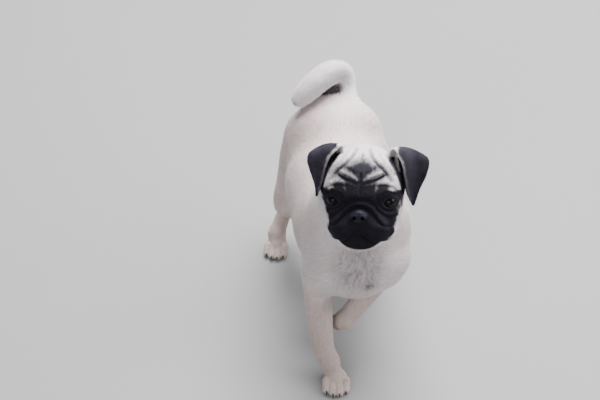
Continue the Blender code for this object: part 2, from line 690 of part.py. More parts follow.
def split_off(body, name, cut, planes):
    """The part of the body inside the block becomes a node of its own, a gap away from the rest."""
    point, axis, sides, length = cut
    point = place(*point)
    sides = np.array(sides) * CM
    part = copy_of(body, name)
    joined_with(part, make_block(point, axis, sides, length * CM, 0.0, planes), "INTERSECT")
    joined_with(body, make_block(point, axis, sides + GAP, length * CM + GAP, GAP, planes), "DIFFERENCE")
    return keep_largest(part)


def keep_largest(obj):
    """Only the largest shell stays, so that a node is one solid."""
    bm = bmesh.new()
    bm.from_mesh(obj.data)
    shells = []
    waiting = set(bm.faces)
    while waiting:
        group = {waiting.pop()}
        edge_faces = list(group)
        while edge_faces:
            face = edge_faces.pop()
            for edge in face.edges:
                for other in edge.link_faces:
                    if other not in group:
                        group.add(other)
                        edge_faces.append(other)
        waiting -= group
        shells.append(group)
    shells.sort(key=len)
    print(obj.name, [len(shell) for shell in shells])
    bmesh.ops.delete(bm, geom=[face for shell in shells[:-1] for face in shell], context="FACES")
    bm.to_mesh(obj.data)
    bm.free()
    return obj


# Each cut: a point on its face, the direction into the part, half the two sides, and the length
CUTS = {
    "head": ((0.3, -10.6, 28.9), (0, -0.37, 0.93), (9.5, 11.5), 14),
    "neck": ((0.0, -8.6, 23.6), (0, -0.40, 0.92), (9.5, 9.5), 12),
    "tail": ((1.93, 16.95, 26.7), (0.02, 0.22, 0.97), (2.4, 2.4), 0.03),
    "forepaw_right": ((-3.95, -15.2, 3.0), (0.2, -0.35, -0.92), (2.6, 3.4), 5),
    "foreleg_right": ((-4.95, -9.9, 11.9), (0.05, -0.50, -0.86), (2.2, 2.9), 13),
    "forepaw_left": ((-1.52, -10.75, 6.45), (-0.05, 0.62, -0.78), (2.2, 2.6), 6),
    "foreleg_left": ((4.05, -8.05, 13.1), (-0.68, -0.33, -0.66), (2.25, 2.2), 11),
    "hindpaw_left": ((5.5, 7.6, 2.9), (0.05, -0.35, -0.93), (2.5, 3.6), 5),
    "hindleg_left": ((5.6, 6.0, 11.9), (0.0, 0.35, -0.93), (2.8, 4.6), 14),
    "hindpaw_right": ((-8.6, 13.0, 2.9), (-0.10, -0.35, -0.93), (2.5, 3.6), 5),
    "hindleg_right": ((-6.9, 9.8, 12.2), (0.0, 0.35, -0.93), (2.9, 4.6), 14),
}


def part_tail(body, planes):
    """A thin slot across the root lets the tail go, and the loose piece becomes the node."""
    point, axis, sides, length = CUTS["tail"]
    block = make_block(place(*point), axis, np.array(sides) * CM, length * CM, 0.0, planes)
    joined_with(body, block, "DIFFERENCE")
    tail = copy_of(body, "tail")
    for obj, keep_high in ((tail, True), (body, False)):
        bm = bmesh.new()
        bm.from_mesh(obj.data)
        seed = max(bm.verts, key=lambda v: v.co.z + v.co.y)
        seen = {seed}
        waiting = [seed]
        while waiting:
            vertex = waiting.pop()
            for edge in vertex.link_edges:
                other = edge.other_vert(vertex)
                if other not in seen:
                    seen.add(other)
                    waiting.append(other)
        drop = [v for v in bm.verts if (v in seen) != keep_high]
        bmesh.ops.delete(bm, geom=drop, context="VERTS")
        bm.to_mesh(obj.data)
        bm.free()
    return tail


def colour(obj, name, shade, roughness):
    material = bpy.data.materials.new(name + " of " + obj.name)
    material.use_nodes = True
    surface = material.node_tree.nodes["Principled BSDF"]
    surface.inputs["Base Color"].default_value = (*shade, 1)
    surface.inputs["Roughness"].default_value = roughness
    obj.data.materials.clear()
    obj.data.materials.append(material)
    for polygon in obj.data.polygons:
        polygon.material_index = 0
    obj.data.shade_smooth()
    obj.data.set_sharp_from_angle(angle=math.radians(55))


def main():
    clear_scene()
    flesh = make_flesh()
    thinned(flesh, FLESH_FACES)
    planes = []
    floor = make_block((0, 0, SOLE_HEIGHT), (0, 0, -1), (0.5, 0.5), 0.1, 0.0, planes)
    joined_with(flesh, floor, "DIFFERENCE")
    nodes = {"tail": part_tail(flesh, planes)}
    for name in CUTS:
        if name != "tail":
            nodes[name] = split_off(flesh, name, CUTS[name], planes)
    flesh.name = "torso"
    nodes["torso"] = keep_largest(flesh)
    for name, obj in nodes.items():
        thinned(obj, FACES[name], on_planes(coordinates(obj.data), planes))
    for name in PAWS:
        for claw in make_claws(name, 1.0 if "fore" in name else 0.95):
            joined_with(nodes[name], claw, "UNION")
        keep_largest(nodes[name])

    head = nodes["head"]
    for side in (1, -1):
        joined_with(head, make_eye(side, GAP), "DIFFERENCE")
        joined_with(head, make_slit(side), "DIFFERENCE")
        joined_with(head, make_ear(side, GAP), "DIFFERENCE")
        nodes["eye_left" if side > 0 else "eye_right"] = make_eye(side)
        nodes["ear_left" if side > 0 else "ear_right"] = make_ear(side)
    joined_with(head, make_nose("bed", GAP, 0.0009, 320, False), "DIFFERENCE")
    nodes["nose"] = make_nose("nose", 0.0, 0.0006, 460, True)
    keep_largest(head)

    for name, obj in nodes.items():
        obj.name = name
        coat = name.startswith(("ear", "nose"))
        shade = (0.02, 0.018, 0.02) if coat else (0.015, 0.01, 0.008) if name.startswith("eye") else (0.62, 0.52, 0.45)
        colour(obj, "fur", shade, 0.2 if name.startswith("eye") else 0.8)
        obj.data.name = name
    return centre_on_floor(nodes.values())


def centre_on_floor(objects):
    """The middle of the box goes to the origin, the soles to the floor."""
    points = np.vstack([coordinates(obj.data) for obj in objects])
    low, high = points.min(0), points.max(0)
    shift = Vector((-(low[0] + high[0]) / 2, -(low[1] + high[1]) / 2, -low[2]))
    print("shift", tuple(round(v, 5) for v in shift), "size", tuple((high - low).round(4)))
    for obj in objects:
        obj.data.transform(Matrix.Translation(shift))
    return shift


main()
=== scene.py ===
import math

import bmesh
import bpy
import numpy as np
from mathutils import Matrix, Vector


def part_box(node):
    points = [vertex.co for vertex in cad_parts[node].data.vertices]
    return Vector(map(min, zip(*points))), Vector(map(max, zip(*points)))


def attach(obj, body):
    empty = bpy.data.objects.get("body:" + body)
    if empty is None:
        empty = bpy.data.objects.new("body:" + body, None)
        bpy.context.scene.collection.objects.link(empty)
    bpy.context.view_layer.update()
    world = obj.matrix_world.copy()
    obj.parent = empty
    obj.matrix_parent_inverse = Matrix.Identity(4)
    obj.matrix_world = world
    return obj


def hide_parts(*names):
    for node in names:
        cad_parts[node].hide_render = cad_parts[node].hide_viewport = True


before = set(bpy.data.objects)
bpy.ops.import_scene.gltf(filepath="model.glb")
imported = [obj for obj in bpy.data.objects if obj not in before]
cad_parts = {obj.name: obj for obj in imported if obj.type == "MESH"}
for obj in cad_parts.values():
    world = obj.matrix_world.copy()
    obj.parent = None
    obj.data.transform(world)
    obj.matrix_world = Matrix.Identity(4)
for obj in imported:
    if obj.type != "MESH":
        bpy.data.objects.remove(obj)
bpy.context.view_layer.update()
cm = 0.01


# Soft shapes: each gives the distance from points to a form, below zero inside it

def place(*centimetres):
    return np.array(centimetres, float) * cm


def lengths(vectors):
    return np.linalg.norm(vectors, axis=1)


def unit(vectors):
    return vectors / np.maximum(lengths(vectors), 1e-9)[:, None]


def ballField(points, centre, radii):
    local = (points - centre) / radii
    reach = lengths(local)
    return reach * (reach - 1) / np.maximum(lengths(local / radii), 1e-6)


def ballsField(points, balls, melt=None, field=None):  # each ball melts into what is before it
    for centre, radii in balls:
        ball = ballField(points, place(*centre), place(*radii))
        field = ball if field is None else melted(field, ball, melt)
    return field


def coneField(points, start, end, startRadius, endRadius):
    axis = end - start
    share = np.clip((points - start) @ axis / (axis @ axis), 0, 1)
    nearest = start + share[:, None] * axis
    return lengths(points - nearest) - (startRadius + share * (endRadius - startRadius))


def melted(first, second, width):
    mix = np.clip(0.5 + 0.5 * (second - first) / width, 0, 1)
    return second + (first - second) * mix - width * mix * (1 - mix)


def carved(field, hollow, width):
    return -melted(-field, hollow, width)


def smoothPath(stations, steps):
    rows = np.array(stations, float)
    rows = np.vstack([2 * rows[0] - rows[1], rows, 2 * rows[-1] - rows[-2]])
    made = []
    for i in range(1, len(rows) - 2):
        before, a, b, after = rows[i - 1:i + 3]
        for t in np.linspace(0, 1, steps, endpoint=False):
            made.append(0.5 * (2 * a + (b - before) * t + (2 * before - 5 * a + 4 * b - after) * t * t
                               + (3 * a - before - 3 * b + after) * t ** 3))
    made.append(rows[-2])
    return np.array(made)


def nearPath(points, path, radii, reach):
    margin = radii.max() + reach
    low, high = path.min(0) - margin, path.max(0) + margin
    outside = lengths(np.maximum(0, np.maximum(low - points, points - high)))
    field = outside + reach
    near = outside == 0
    if near.any():
        chosen = points[near]
        closest = np.full(len(chosen), reach * 2 + 1.0)
        for i in range(len(path) - 1):
            closest = np.minimum(closest, coneField(chosen, path[i], path[i + 1], radii[i], radii[i + 1]))
        field[near] = closest
    return field


def limbField(points, stations, steps=4):
    path = smoothPath(stations, steps) * cm
    return nearPath(points, path[:, :3], path[:, 3], 0.03)


depthCounts = np.array([1.0, 0.45, 1.0])  # a fold's path need only be near the skin, so depth counts for less


def nearFold(points, stations, width):
    path = smoothPath(stations, 5) * cm * depthCounts
    distance = nearPath(points * depthCounts, path, np.zeros(len(path)), 3 * width)
    return np.exp(-(distance / width) ** 2)


noiseGrid = np.random.default_rng(11).random((32, 32, 32))


def cloud(points, size):  # smooth noise from 0 to 1, its lumps of about that size
    scaled = points / size
    cell = np.floor(scaled).astype(int)
    t = scaled - cell
    t = t * t * (3 - 2 * t)
    total = np.zeros(len(points))
    for step in np.ndindex(2, 2, 2):
        weight = np.prod(np.where(step, t, 1 - t), axis=1)
        total += weight * noiseGrid[tuple(((cell + step) % len(noiseGrid)).T)]
    return total


def smoothStep(low, high, values):
    t = np.clip((values - low) / (high - low), 0, 1)
    return t * t * (3 - 2 * t)


# The dog's form, with the same sizes as the solids, in centimetres; melts and the eye's sizes are in metres
body = {
    "trunk": [((0.1, -2.6, 18.3), (7.9, 10.6, 7.4)), ((0.2, -10.2, 18.0), (6.2, 4.8, 6.0)),
              ((-0.3, 4.4, 18.6), (7.85, 8.8, 6.8)), ((-0.35, 12.4, 20.8), (7.25, 6.1, 6.4))],
    "muscles": [((5.2, -6.4, 20.2), (2.9, 4.4, 5.2)), ((4.5, -9.4, 16.6), (2.3, 3.2, 3.8)),
                ((-4.3, -9.2, 17.8), (2.5, 3.8, 5.4)), ((4.6, 9.4, 17.2), (2.9, 4.8, 5.4)),
                ((-4.9, 11.0, 17.0), (2.9, 4.8, 5.4)), ((-0.4, 14.9, 24.85), (2.4, 2.1, 2.1))],
    "neck": [(0.1, -4.8, 20.2, 6.8), (0.1, -8.0, 25.0, 6.5), (0.15, -10.6, 29.2, 5.6), (0.4, -11.8, 32.0, 4.9)],
    "tail": [(1.0, 14.2, 22.6, 1.8), (1.9, 16.4, 25.6, 1.35), (1.95, 17.2, 28.0, 1.2),
             (1.1, 17.0, 29.35, 1.42), (-0.5, 16.0, 29.95, 1.62), (-2.4, 14.8, 29.55, 1.62),
             (-4.0, 14.0, 28.5, 1.5), (-5.0, 13.5, 27.75, 1.12)],
    "loopShadeMound": ((-0.8, 16.0, 27.2), (2.3, 0.8, 1.5)),  # a mound that closes the tail's loop, painted dark as the shade under the curl
    "melt": {"trunk": 0.022, "leg": 0.016, "paw": 0.006, "tail": 0.018, "loopShadeMound": 0.005, "head": 0.016},
}
legs = {
    "foreLeft": {"stations": [(4.9, -9.4, 17.4, 2.7), (4.4, -7.8, 13.7, 2.1), (2.5, -8.9, 11.0, 1.8),
                              (0.2, -10.2, 8.5, 1.5), (-1.5, -11.0, 7.0, 1.45)],
                 "toes": (-1.7, -8.9, 4.7), "pitch": 138, "turn": 4, "size": 1.0},
    "foreRight": {"stations": [(-4.5, -10.4, 16.5, 2.75), (-4.95, -9.6, 12.4, 2.1), (-5.0, -12.0, 8.4, 1.85),
                               (-4.75, -14.0, 5.4, 1.6), (-4.0, -15.1, 3.4, 1.4)],
                  "toes": (-3.2, -17.0, 1.05), "pitch": 0, "turn": -6, "size": 1.0},
    "hindLeft": {"stations": [(4.4, 9.6, 17.5, 3.4), (5.4, 5.4, 12.4, 2.9), (5.4, 7.4, 9.4, 1.9),
                              (5.2, 10.2, 6.6, 1.25), (5.2, 9.8, 4.6, 1.15), (5.5, 7.8, 2.4, 1.15)],
                 "toes": (5.8, 5.6, 1.0), "pitch": 0, "turn": 8, "size": 0.95},
    "hindRight": {"stations": [(-4.6, 11.6, 17.4, 3.4), (-6.7, 9.0, 12.8, 2.8), (-7.0, 11.6, 9.4, 1.9),
                               (-7.0, 14.2, 6.6, 1.25), (-7.7, 13.9, 4.6, 1.15), (-8.7, 12.8, 2.4, 1.15)],
                  "toes": (-8.9, 11.2, 1.0), "pitch": 0, "turn": -16, "size": 0.95},
}
toe = {"radius": 0.66 * cm, "spacing": 0.86 * cm, "spread": 1.04, "tipRadius": 0.86, "melt": 0.0022,
       "rows": [(-1.5, 1.25), (-0.5, 1.75), (0.5, 1.75), (1.5, 1.25)]}  # place across in spacings, reach in cm
headPose = {"middle": (0.0053, -0.125, 0.325), "lift": 23, "turn": 13.8, "tilt": -3.4, "muzzleLean": 0.10,
            "muzzle": 0.022, "roughRadius": 0.045, "near": 0.065}
headForm = [  # centre, radii and melt; those off the middle are on both sides
    ((0.0, 0.2, 1.2), (4.8, 4.9, 4.9), 1.5), ((2.65, -0.6, 0.7), (2.55, 3.6, 4.0), 1.5),
    ((0.0, -2.2, 2.2), (3.9, 2.4, 3.2), 1.5), ((2.6, -1.4, -2.4), (2.35, 2.8, 2.9), 1.4),
    ((0.0, -1.0, -3.0), (3.4, 3.2, 2.7), 1.4), ((0.0, -3.2, -2.8), (3.5, 2.3, 2.6), 1.0),
    ((2.75, -2.5, -4.35), (1.7, 2.0, 1.5), 0.9), ((0.0, -3.75, -5.4), (2.5, 1.5, 1.3), 0.6),
    ((1.8, -4.15, -3.65), (1.95, 1.6, 1.95), 0.5), ((2.75, -3.45, 1.15), (1.5, 0.85, 0.75), 0.8),
    ((4.7, 0.8, 3.1), (1.3, 1.2, 2.2), 0.8),
]
eye = {"radius": 0.0108, "place": (0.0352, -0.0310, -0.0020), "lid": 0.0013, "turn": 12, "gaze": 5,
       "slit": (0.0098, 0.0078), "near": 0.010, "sink": 0.0016, "rim": 0.0004, "cornea": (38, 0.055)}
earHollow = {"hollow": ((4.75, -0.6, 3.9), (0.75, 1.0, 1.1)), "wall": ((5.2, -0.1, 3.2), (0.65, 0.9, 1.7)),
             "melt": 0.0040}

# Lines on the head's left half, mirrored to the right, that fold the skin and also carry paint, in centimetres
lines = {
    "overNose": [(0.0, -5.1, -0.15), (0.7, -5.0, -0.25), (1.35, -4.9, -0.6), (1.9, -4.85, -1.15),
                 (2.5, -4.95, -1.85), (3.2, -4.8, -2.7)],
    "frownRidge": [(2.72, -3.95, 3.86), (1.85, -4.5, 3.62), (1.05, -4.75, 3.3), (0.4, -4.85, 2.92)],
    "frown": [(2.8, -3.95, 3.28), (2.05, -4.3, 2.95), (1.15, -4.75, 2.72), (0.45, -4.95, 2.46)],
    "crown": [(0.9, -1.1, 5.9), (1.26, -2.7, 5.4), (1.9, -3.3, 4.75), (2.65, -3.7, 4.1), (3.25, -3.7, 3.4),
              (3.7, -3.8, 2.5)],
    "crownSide": [(2.1, -1.7, 5.4), (2.8, -2.65, 4.75), (3.5, -2.95, 4.0), (4.1, -3.0, 3.1)],
    "crownMiddle": [(-0.3, 0.4, 6.1), (-0.2, -1.6, 5.9), (-0.1, -2.9, 5.4)],
    "brow": [(2.1, -4.7, 2.1), (2.8, -4.45, 2.22), (3.7, -4.1, 1.95), (4.45, -3.5, 1.4), (5.0, -2.4, 0.6)],
}
folds = [  # path, height and width; a crease has its height below zero
    (lines["overNose"], 0.30, 0.34),
    ([(0.0, -4.85, -0.7), (0.75, -4.85, -0.8), (1.35, -4.9, -1.12), (1.9, -5.05, -1.65), (2.4, -5.2, -2.25),
      (3.0, -5.1, -2.85), (3.7, -4.4, -3.3)], -0.26, 0.19),
    ([(0.0, -4.95, 0.28), (0.8, -4.9, 0.15), (1.5, -4.75, -0.33), (2.15, -4.75, -0.95), (2.9, -4.9, -1.6),
      (3.6, -4.6, -2.2)], -0.24, 0.20),
    ([(2.3, -4.6, -0.75), (2.9, -4.6, -1.3), (3.6, -4.3, -1.75), (4.3, -3.6, -1.8)], 0.10, 0.22),
    (lines["frownRidge"], 0.19, 0.20),
    (lines["frown"], -0.24, 0.17),
    ([(2.5, -3.9, 4.3), (1.6, -4.3, 4.05), (0.8, -4.5, 3.7)], -0.10, 0.20),
    ([(0.6, -4.7, 2.2), (1.5, -4.7, 2.35), (2.3, -4.5, 2.6), (3.2, -4.2, 2.65), (4.2, -3.5, 2.1)], 0.10, 0.26),
    (lines["crown"], -0.26, 0.18),
    ([(1.5, -0.5, 5.9), (2.0, -2.4, 5.35), (2.7, -3.05, 4.65), (3.4, -3.35, 3.8), (3.95, -3.35, 2.8)],
     0.16, 0.28),
    (lines["crownSide"], -0.14, 0.18),
    ([(2.9, -1.6, 5.1), (3.5, -2.3, 4.4), (4.1, -2.5, 3.6)], 0.08, 0.22),
    (lines["crownMiddle"], -0.10, 0.17),
    ([(0.03, -4.2, 3.6), (0.04, -4.6, 2.8), (0.05, -4.75, 1.9), (0.06, -4.85, 1.0)], -0.28, 0.15),
    (lines["brow"], -0.16, 0.15),
    ([(2.35, -4.55, 0.75), (2.9, -4.5, 1.2), (3.7, -4.1, 1.25), (4.5, -3.4, 0.7)], -0.12, 0.15),
    ([(2.1, -4.6, 0.0), (2.65, -4.4, -0.75), (3.35, -4.2, -1.18), (4.0, -3.8, -1.35), (4.6, -2.9, -1.2)],
     -0.15, 0.15),
    ([(1.8, -4.8, -0.3), (2.3, -4.6, -1.2), (3.0, -4.5, -1.75)], -0.06, 0.14),
    ([(0.0, -5.9, -2.4), (0.0, -5.8, -3.1), (0.0, -5.5, -3.95)], -0.28, 0.14),
    ([(0.0, -5.4, -3.95), (0.85, -5.3, -4.5), (1.65, -5.1, -5.1), (2.5, -4.6, -5.4), (3.3, -4.0, -5.25),
      (4.1, -3.0, -4.6)], -0.42, 0.18),
    ([(0.0, -5.0, -4.5), (0.7, -5.0, -4.95), (1.5, -4.8, -5.5)], 0.10, 0.22),
    ([(1.4, -5.3, -2.5), (2.1, -5.5, -2.95), (2.9, -5.3, -3.2)], 0.08, 0.30),
]


def turned(degrees, axis):
    return Matrix.Rotation(math.radians(degrees), 4, axis)


def headMatrix():
    turn, lift = turned(-headPose["turn"], "Z"), turned(-headPose["lift"], "X")
    return Matrix.Translation(Vector(headPose["middle"])) @ turn @ lift @ turned(headPose["tilt"], "Y")


def into(points, matrix):
    inverse = np.array(matrix.inverted())
    return points @ inverse[:3, :3].T + inverse[:3, 3]


def outOf(points, matrix):
    forward = np.array(matrix)
    return points @ forward[:3, :3].T + forward[:3, 3]


def mirrored(points):  # the left half stands for both, and the muzzle leans a little to its right
    muzzle = headPose["muzzle"]
    lean = np.clip(-points[:, 2], 0, muzzle) * np.clip(2 - np.abs(points[:, 0]) / muzzle, 0, 1)
    lean = headPose["muzzleLean"] * lean
    return np.stack([np.abs(points[:, 0] + lean), points[:, 1], points[:, 2]], 1)


whorlPlace = outOf(place(0.43, 4.09, -14.79)[None, :], headMatrix())[0]  # a swirl of dark hair on the chest


def trunkField(points):
    melt = body["melt"]
    field = ballsField(points, body["trunk"], melt["trunk"])
    field = ballsField(points, body["muscles"], melt["leg"], field)
    return melted(field, limbField(points, body["neck"]), melt["trunk"])


def wristOf(leg):
    return place(*leg["stations"][-1][:3])


def pawMatrix(leg):
    spot = Matrix.Translation(Vector(place(*leg["toes"])))
    return spot @ turned(leg["turn"], "Z") @ turned(leg["pitch"], "X")


def pawField(points, leg):
    size = leg["size"]
    local = into(points, pawMatrix(leg))
    wrist = into(wristOf(leg)[None, :], pawMatrix(leg))[0]
    field = ballField(local, place(0, 0.7, -0.1) * size, place(1.55, 1.5, 1.05) * size)
    field = melted(field, coneField(local, wrist, place(0, 0.5, 0.25) * size, 1.25 * cm, 1.05 * cm), 0.010)
    radius = toe["radius"] * size
    for side, front in toe["rows"]:
        knuckle = np.array([side * toe["spacing"], -0.1 * cm, 0.20 * cm]) * size
        tip = np.array([side * toe["spacing"] * toe["spread"], -front * cm, -0.42 * cm]) * size
        field = melted(field, coneField(local, knuckle, tip, radius, radius * toe["tipRadius"]), toe["melt"])
    return field


def bodyField(points):
    trunk, melt = trunkField(points), body["melt"]
    whole = trunk
    for leg in legs.values():
        field = limbField(points, leg["stations"])
        near = field < 0.05  # wide enough to take in the toes
        field[near] = melted(field[near], pawField(points[near], leg), melt["paw"])
        whole = np.minimum(whole, melted(trunk, field, melt["leg"]))
    root = melted(whole, limbField(points, body["tail"][:3]), melt["tail"])
    whole = np.minimum(root, limbField(points, body["tail"]))
    return ballsField(points, [body["loopShadeMound"]], melt["loopShadeMound"], whole)


def headField(points):
    field = lengths(points) - headPose["roughRadius"]
    near = field < headPose["near"]
    field[near] = nearHeadField(points[near])
    return field


def nearHeadField(points):
    both = mirrored(points)
    field = None
    for centre, radii, melt in headForm:
        field = ballsField(both, [(centre, radii)], melt * cm, field)
    lids = lengths(both - np.array(eye["place"])) - eye["radius"] - eye["lid"]
    field = melted(field, lids, 0.45 * cm)
    for path, height, width in folds:
        field = field - height * cm * nearFold(both, path, width * cm)
    field = carved(field, ballsField(both, [earHollow["hollow"]]), earHollow["melt"])
    return ballsField(points, [earHollow["wall"]], earHollow["melt"], field)  # behind the dog's left ear alone


noseForm = {
    "balls": [((0, -5.30, -1.45), (1.00, 0.85, 0.70), 0.15), ((0.76, -5.30, -1.68), (0.52, 0.75, 0.52), 0.15),
              ((0, -5.35, -2.05), (0.55, 0.65, 0.42), 0.20)],  # centre, radii and lean to the dog's right
    "melt": 0.0030, "groove": [(0, -6.1, -1.1), (0, -6.2, -1.5), (0, -6.0, -2.5)], "grooveDepth": 0.0011,
    "nostril": ((0.50, 0, -1.70), 0.21), "slit": ((0.55, 0, -1.85), (1.02, 0, -2.05), 0.14, 0.06), "front": -5.2,
    "voxel": 0.00038, "hole": 0.0034, "wing": 0.0005,
}


def noseField(points):
    both = mirrored(points)
    field = ballsField(both, [row[:2] for row in noseForm["balls"]], noseForm["melt"])
    return field + noseForm["grooveDepth"] * nearFold(both, noseForm["groove"], 0.0010)


coat = {  # depth of the skin under the coat's outside, in metres
    "bodyDepth": 0.0016, "faceDepth": 0.0007, "pawDepth": 0.0006, "tailDepth": 0.0008,
}


def faceShare(head):  # 1 on the face, 0 behind the cheeks and over the crown
    return smoothStep(0.004, -0.022, head[:, 1]) * smoothStep(0.088, 0.072, lengths(head))


def tailGap(points):  # distance from the tail, past its root
    path = smoothPath(body["tail"], 4) * cm
    return nearPath(points, path[3:, :3], path[3:, 3], 0.03)


def tailShare(points):
    return smoothStep(0.012, 0.002, tailGap(points))


def coatDepth(points, head):
    depth = coat["bodyDepth"] + (coat["faceDepth"] - coat["bodyDepth"]) * faceShare(head)
    depth = depth + (coat["pawDepth"] - depth) * smoothStep(0.06, 0.02, points[:, 2])
    return depth + (coat["tailDepth"] - depth) * tailShare(points)


def skinField(points):
    head = into(points, headMatrix())
    near = melted(bodyField(points), headField(head), body["melt"]["head"])
    near = near + coatDepth(points, head)
    return carved(near, noseField(head) + 0.0006, 0.0008)


# Mesh helpers

def newObject(name, data):
    obj = bpy.data.objects.new(name, data)
    bpy.context.scene.collection.objects.link(obj)
    return obj


def objectOf(name, bm):
    mesh = bpy.data.meshes.new(name)
    bm.to_mesh(mesh)
    bm.free()
    return newObject(name, mesh)


def applyModifiers(obj):
    graph = bpy.context.evaluated_depsgraph_get()
    mesh = bpy.data.meshes.new_from_object(obj.evaluated_get(graph))
    obj.modifiers.clear()
    obj.data = mesh
    mesh.name = obj.name
    return obj


def readAll(items, what, kind, width):
    values = np.empty(len(items) * width, kind)
    items.foreach_get(what, values)
    return values.reshape(-1, width)


def coordinates(mesh, what="co"):
    return readAll(mesh.vertices, what, np.float32, 3).astype(float)


def setCoordinates(mesh, points):
    mesh.vertices.foreach_set("co", points.astype(np.float32).ravel())
    mesh.update()


def setColours(mesh, colours):
    tint = mesh.attributes.new("coatColour", "FLOAT_COLOR", "POINT")
    rgba = np.ones((len(colours), 4), np.float32)
    rgba[:, :3] = colours
    tint.data.foreach_set("color", rgba.ravel())


def corners(mesh):
    mesh.calc_loop_triangles()
    return readAll(mesh.loop_triangles, "vertices", np.int32, 3)


def relaxed(points, ends, share):
    total = np.zeros_like(points)
    for axis in range(3):
        total[:, axis] = np.bincount(ends[:, 0], points[ends[:, 1], axis], len(points))
        total[:, axis] += np.bincount(ends[:, 1], points[ends[:, 0], axis], len(points))
    count = np.bincount(ends.ravel(), minlength=len(points))
    return points + share * (total / np.maximum(count, 1)[:, None] - points)


def pressed(points, field, step=0.0003):
    distance = field(points)
    slope = np.empty_like(points)
    for axis in range(3):
        shift = np.zeros(3)
        shift[axis] = step
        slope[:, axis] = (field(points + shift) - distance) / step
    size = np.maximum((slope ** 2).sum(1), 0.2)
    return points - (np.clip(distance, -0.006, 0.006) / size)[:, None] * slope


def press(obj, field, rounds, relax=0.5, lastRelax=0.2):
    ends = readAll(obj.data.edges, "vertices", np.int32, 2)
    points = coordinates(obj.data)
    for number in range(rounds):
        if number:
            points = relaxed(points, ends, relax)
        points = pressed(points, field)
    setCoordinates(obj.data, relaxed(points, ends, lastRelax))


def addBall(bm, centre, radii, matrix=Matrix.Identity(4)):
    spot = Matrix.Translation(Vector(centre)) @ Matrix.Diagonal(Vector((*radii, 1)))
    bmesh.ops.create_icosphere(bm, subdivisions=3, radius=1, matrix=matrix @ spot)


def remeshed(obj, voxel):
    remesh = obj.modifiers.new("one surface", "REMESH")
    remesh.mode = "VOXEL"
    remesh.voxel_size = voxel
    return applyModifiers(obj)


def refine(obj, chosen):  # every face in the chosen place is quartered
    bm = bmesh.new()
    bm.from_mesh(obj.data)
    bm.verts.ensure_lookup_table()
    edges = [edge for edge in bm.edges if chosen[edge.verts[0].index] and chosen[edge.verts[1].index]]
    bmesh.ops.subdivide_edges(bm, edges=edges, cuts=1, use_grid_fill=True)
    bmesh.ops.triangulate(bm, faces=[face for face in bm.faces if len(face.verts) > 4])
    bm.to_mesh(obj.data)
    bm.free()


# The skin
skinMake = {"voxel": 0.0030, "headReach": 0.070, "faceReach": 0.054, "pawReach": 0.030}  # where it is finer


def seedSkin():
    bm = bmesh.new()
    for centre, radii in body["trunk"] + body["muscles"] + [body["loopShadeMound"]]:
        addBall(bm, place(*centre), place(*radii))
    for stations in [body["neck"], body["tail"]] + [leg["stations"] for leg in legs.values()]:
        for row in smoothPath(stations, 8) * cm:
            addBall(bm, row[:3], (row[3],) * 3)
    for leg in legs.values():
        paw = pawMatrix(leg)
        addBall(bm, place(0, 0.1, 0), place(1.7, 2.0, 1.0), paw)
        for side, front in toe["rows"]:
            tip = (side * toe["spacing"], (0.15 - front) * cm, -0.35 * cm)
            addBall(bm, tip, (toe["radius"] * 0.85,) * 3, paw)
        addBall(bm, (wristOf(leg) + place(*leg["toes"])) * 0.5, place(1.1, 1.1, 1.1))
    for centre, radii, _ in headForm:
        for side in (1, -1):
            addBall(bm, place(centre[0] * side, *centre[1:]), place(*radii), headMatrix())
    for side in (1, -1):
        addBall(bm, eyePlace(side), (eye["radius"] + eye["lid"],) * 3, headMatrix())
    return objectOf("skin", bm)


def eyePlace(side):
    return (eye["place"][0] * side, *eye["place"][1:])


def eyeMatrix(side, turn=eye["turn"]):
    return headMatrix() @ Matrix.Translation(Vector(eyePlace(side))) @ turned(side * turn, "Z")


def eyeOpening(points):  # 1 on the edge of the lids, less inside, more outside, and the way out from the eye
    width, height = eye["slit"]
    farAway = 9.0
    opening = np.full(len(points), farAway)
    outward = np.zeros_like(points)
    for side in (1, -1):
        matrix = eyeMatrix(side)
        local = into(points, matrix)
        x, z = local[:, 0], local[:, 2] + 0.0003
        tall = height * np.where(z > 0, 1.0, 0.90) * (1 - 0.20 * np.clip(np.abs(x) / width, 0, 1))
        here = np.sqrt((x / width) ** 2 + (z / tall) ** 2)
        front = (lengths(local) < eye["radius"] + eye["near"]) & (local[:, 1] < -0.0005)
        here = np.where(front, here, farAway)
        away = unit(np.stack([x, np.zeros_like(x), z], 1)) @ np.array(matrix)[:3, :3].T
        outward = np.where((here < opening)[:, None], away, outward)
        opening = np.minimum(opening, here)
    return opening, outward


def openLids(points):  # sinks the skin behind the eyeball inside the lids, and raises their fine rim
    opening, _ = eyeOpening(points)
    inside = smoothStep(1.04, 0.90, opening)
    rim = np.exp(-((opening - 1.09) / 0.07) ** 2)
    for side in (1, -1):
        matrix = eyeMatrix(side)
        local = into(points, matrix)
        reach = lengths(local)
        near = (opening < 2.5) & (reach < eye["radius"] + eye["near"])
        target = reach * (1 - inside) + (eye["radius"] - eye["sink"]) * inside + eye["rim"] * rim
        local = local * (target / np.maximum(reach, 1e-6))[:, None]
        points = np.where(near[:, None], outOf(local, matrix), points)
    return points


def makeSkin():
    skin = remeshed(seedSkin(), skinMake["voxel"])
    press(skin, skinField, 3)
    points = coordinates(skin.data)
    fine = lengths(into(points, headMatrix())) < skinMake["headReach"]
    for leg in legs.values():
        fine |= lengths(into(points, pawMatrix(leg)) - place(0, -0.6, 0)) < skinMake["pawReach"]
    refine(skin, fine)
    head = into(coordinates(skin.data), headMatrix())
    face = lengths(head - place(0, -3.4, -1.0)) < skinMake["faceReach"]
    refine(skin, face & (head[:, 1] < -0.020))
    press(skin, skinField, 4, 0.35, 0.05)
    points = openLids(coordinates(skin.data))
    points[:, 2] = np.maximum(points[:, 2], 0.0)
    setCoordinates(skin.data, points)
    print("skin:", len(corners(skin.data)), "triangles")
    return skin


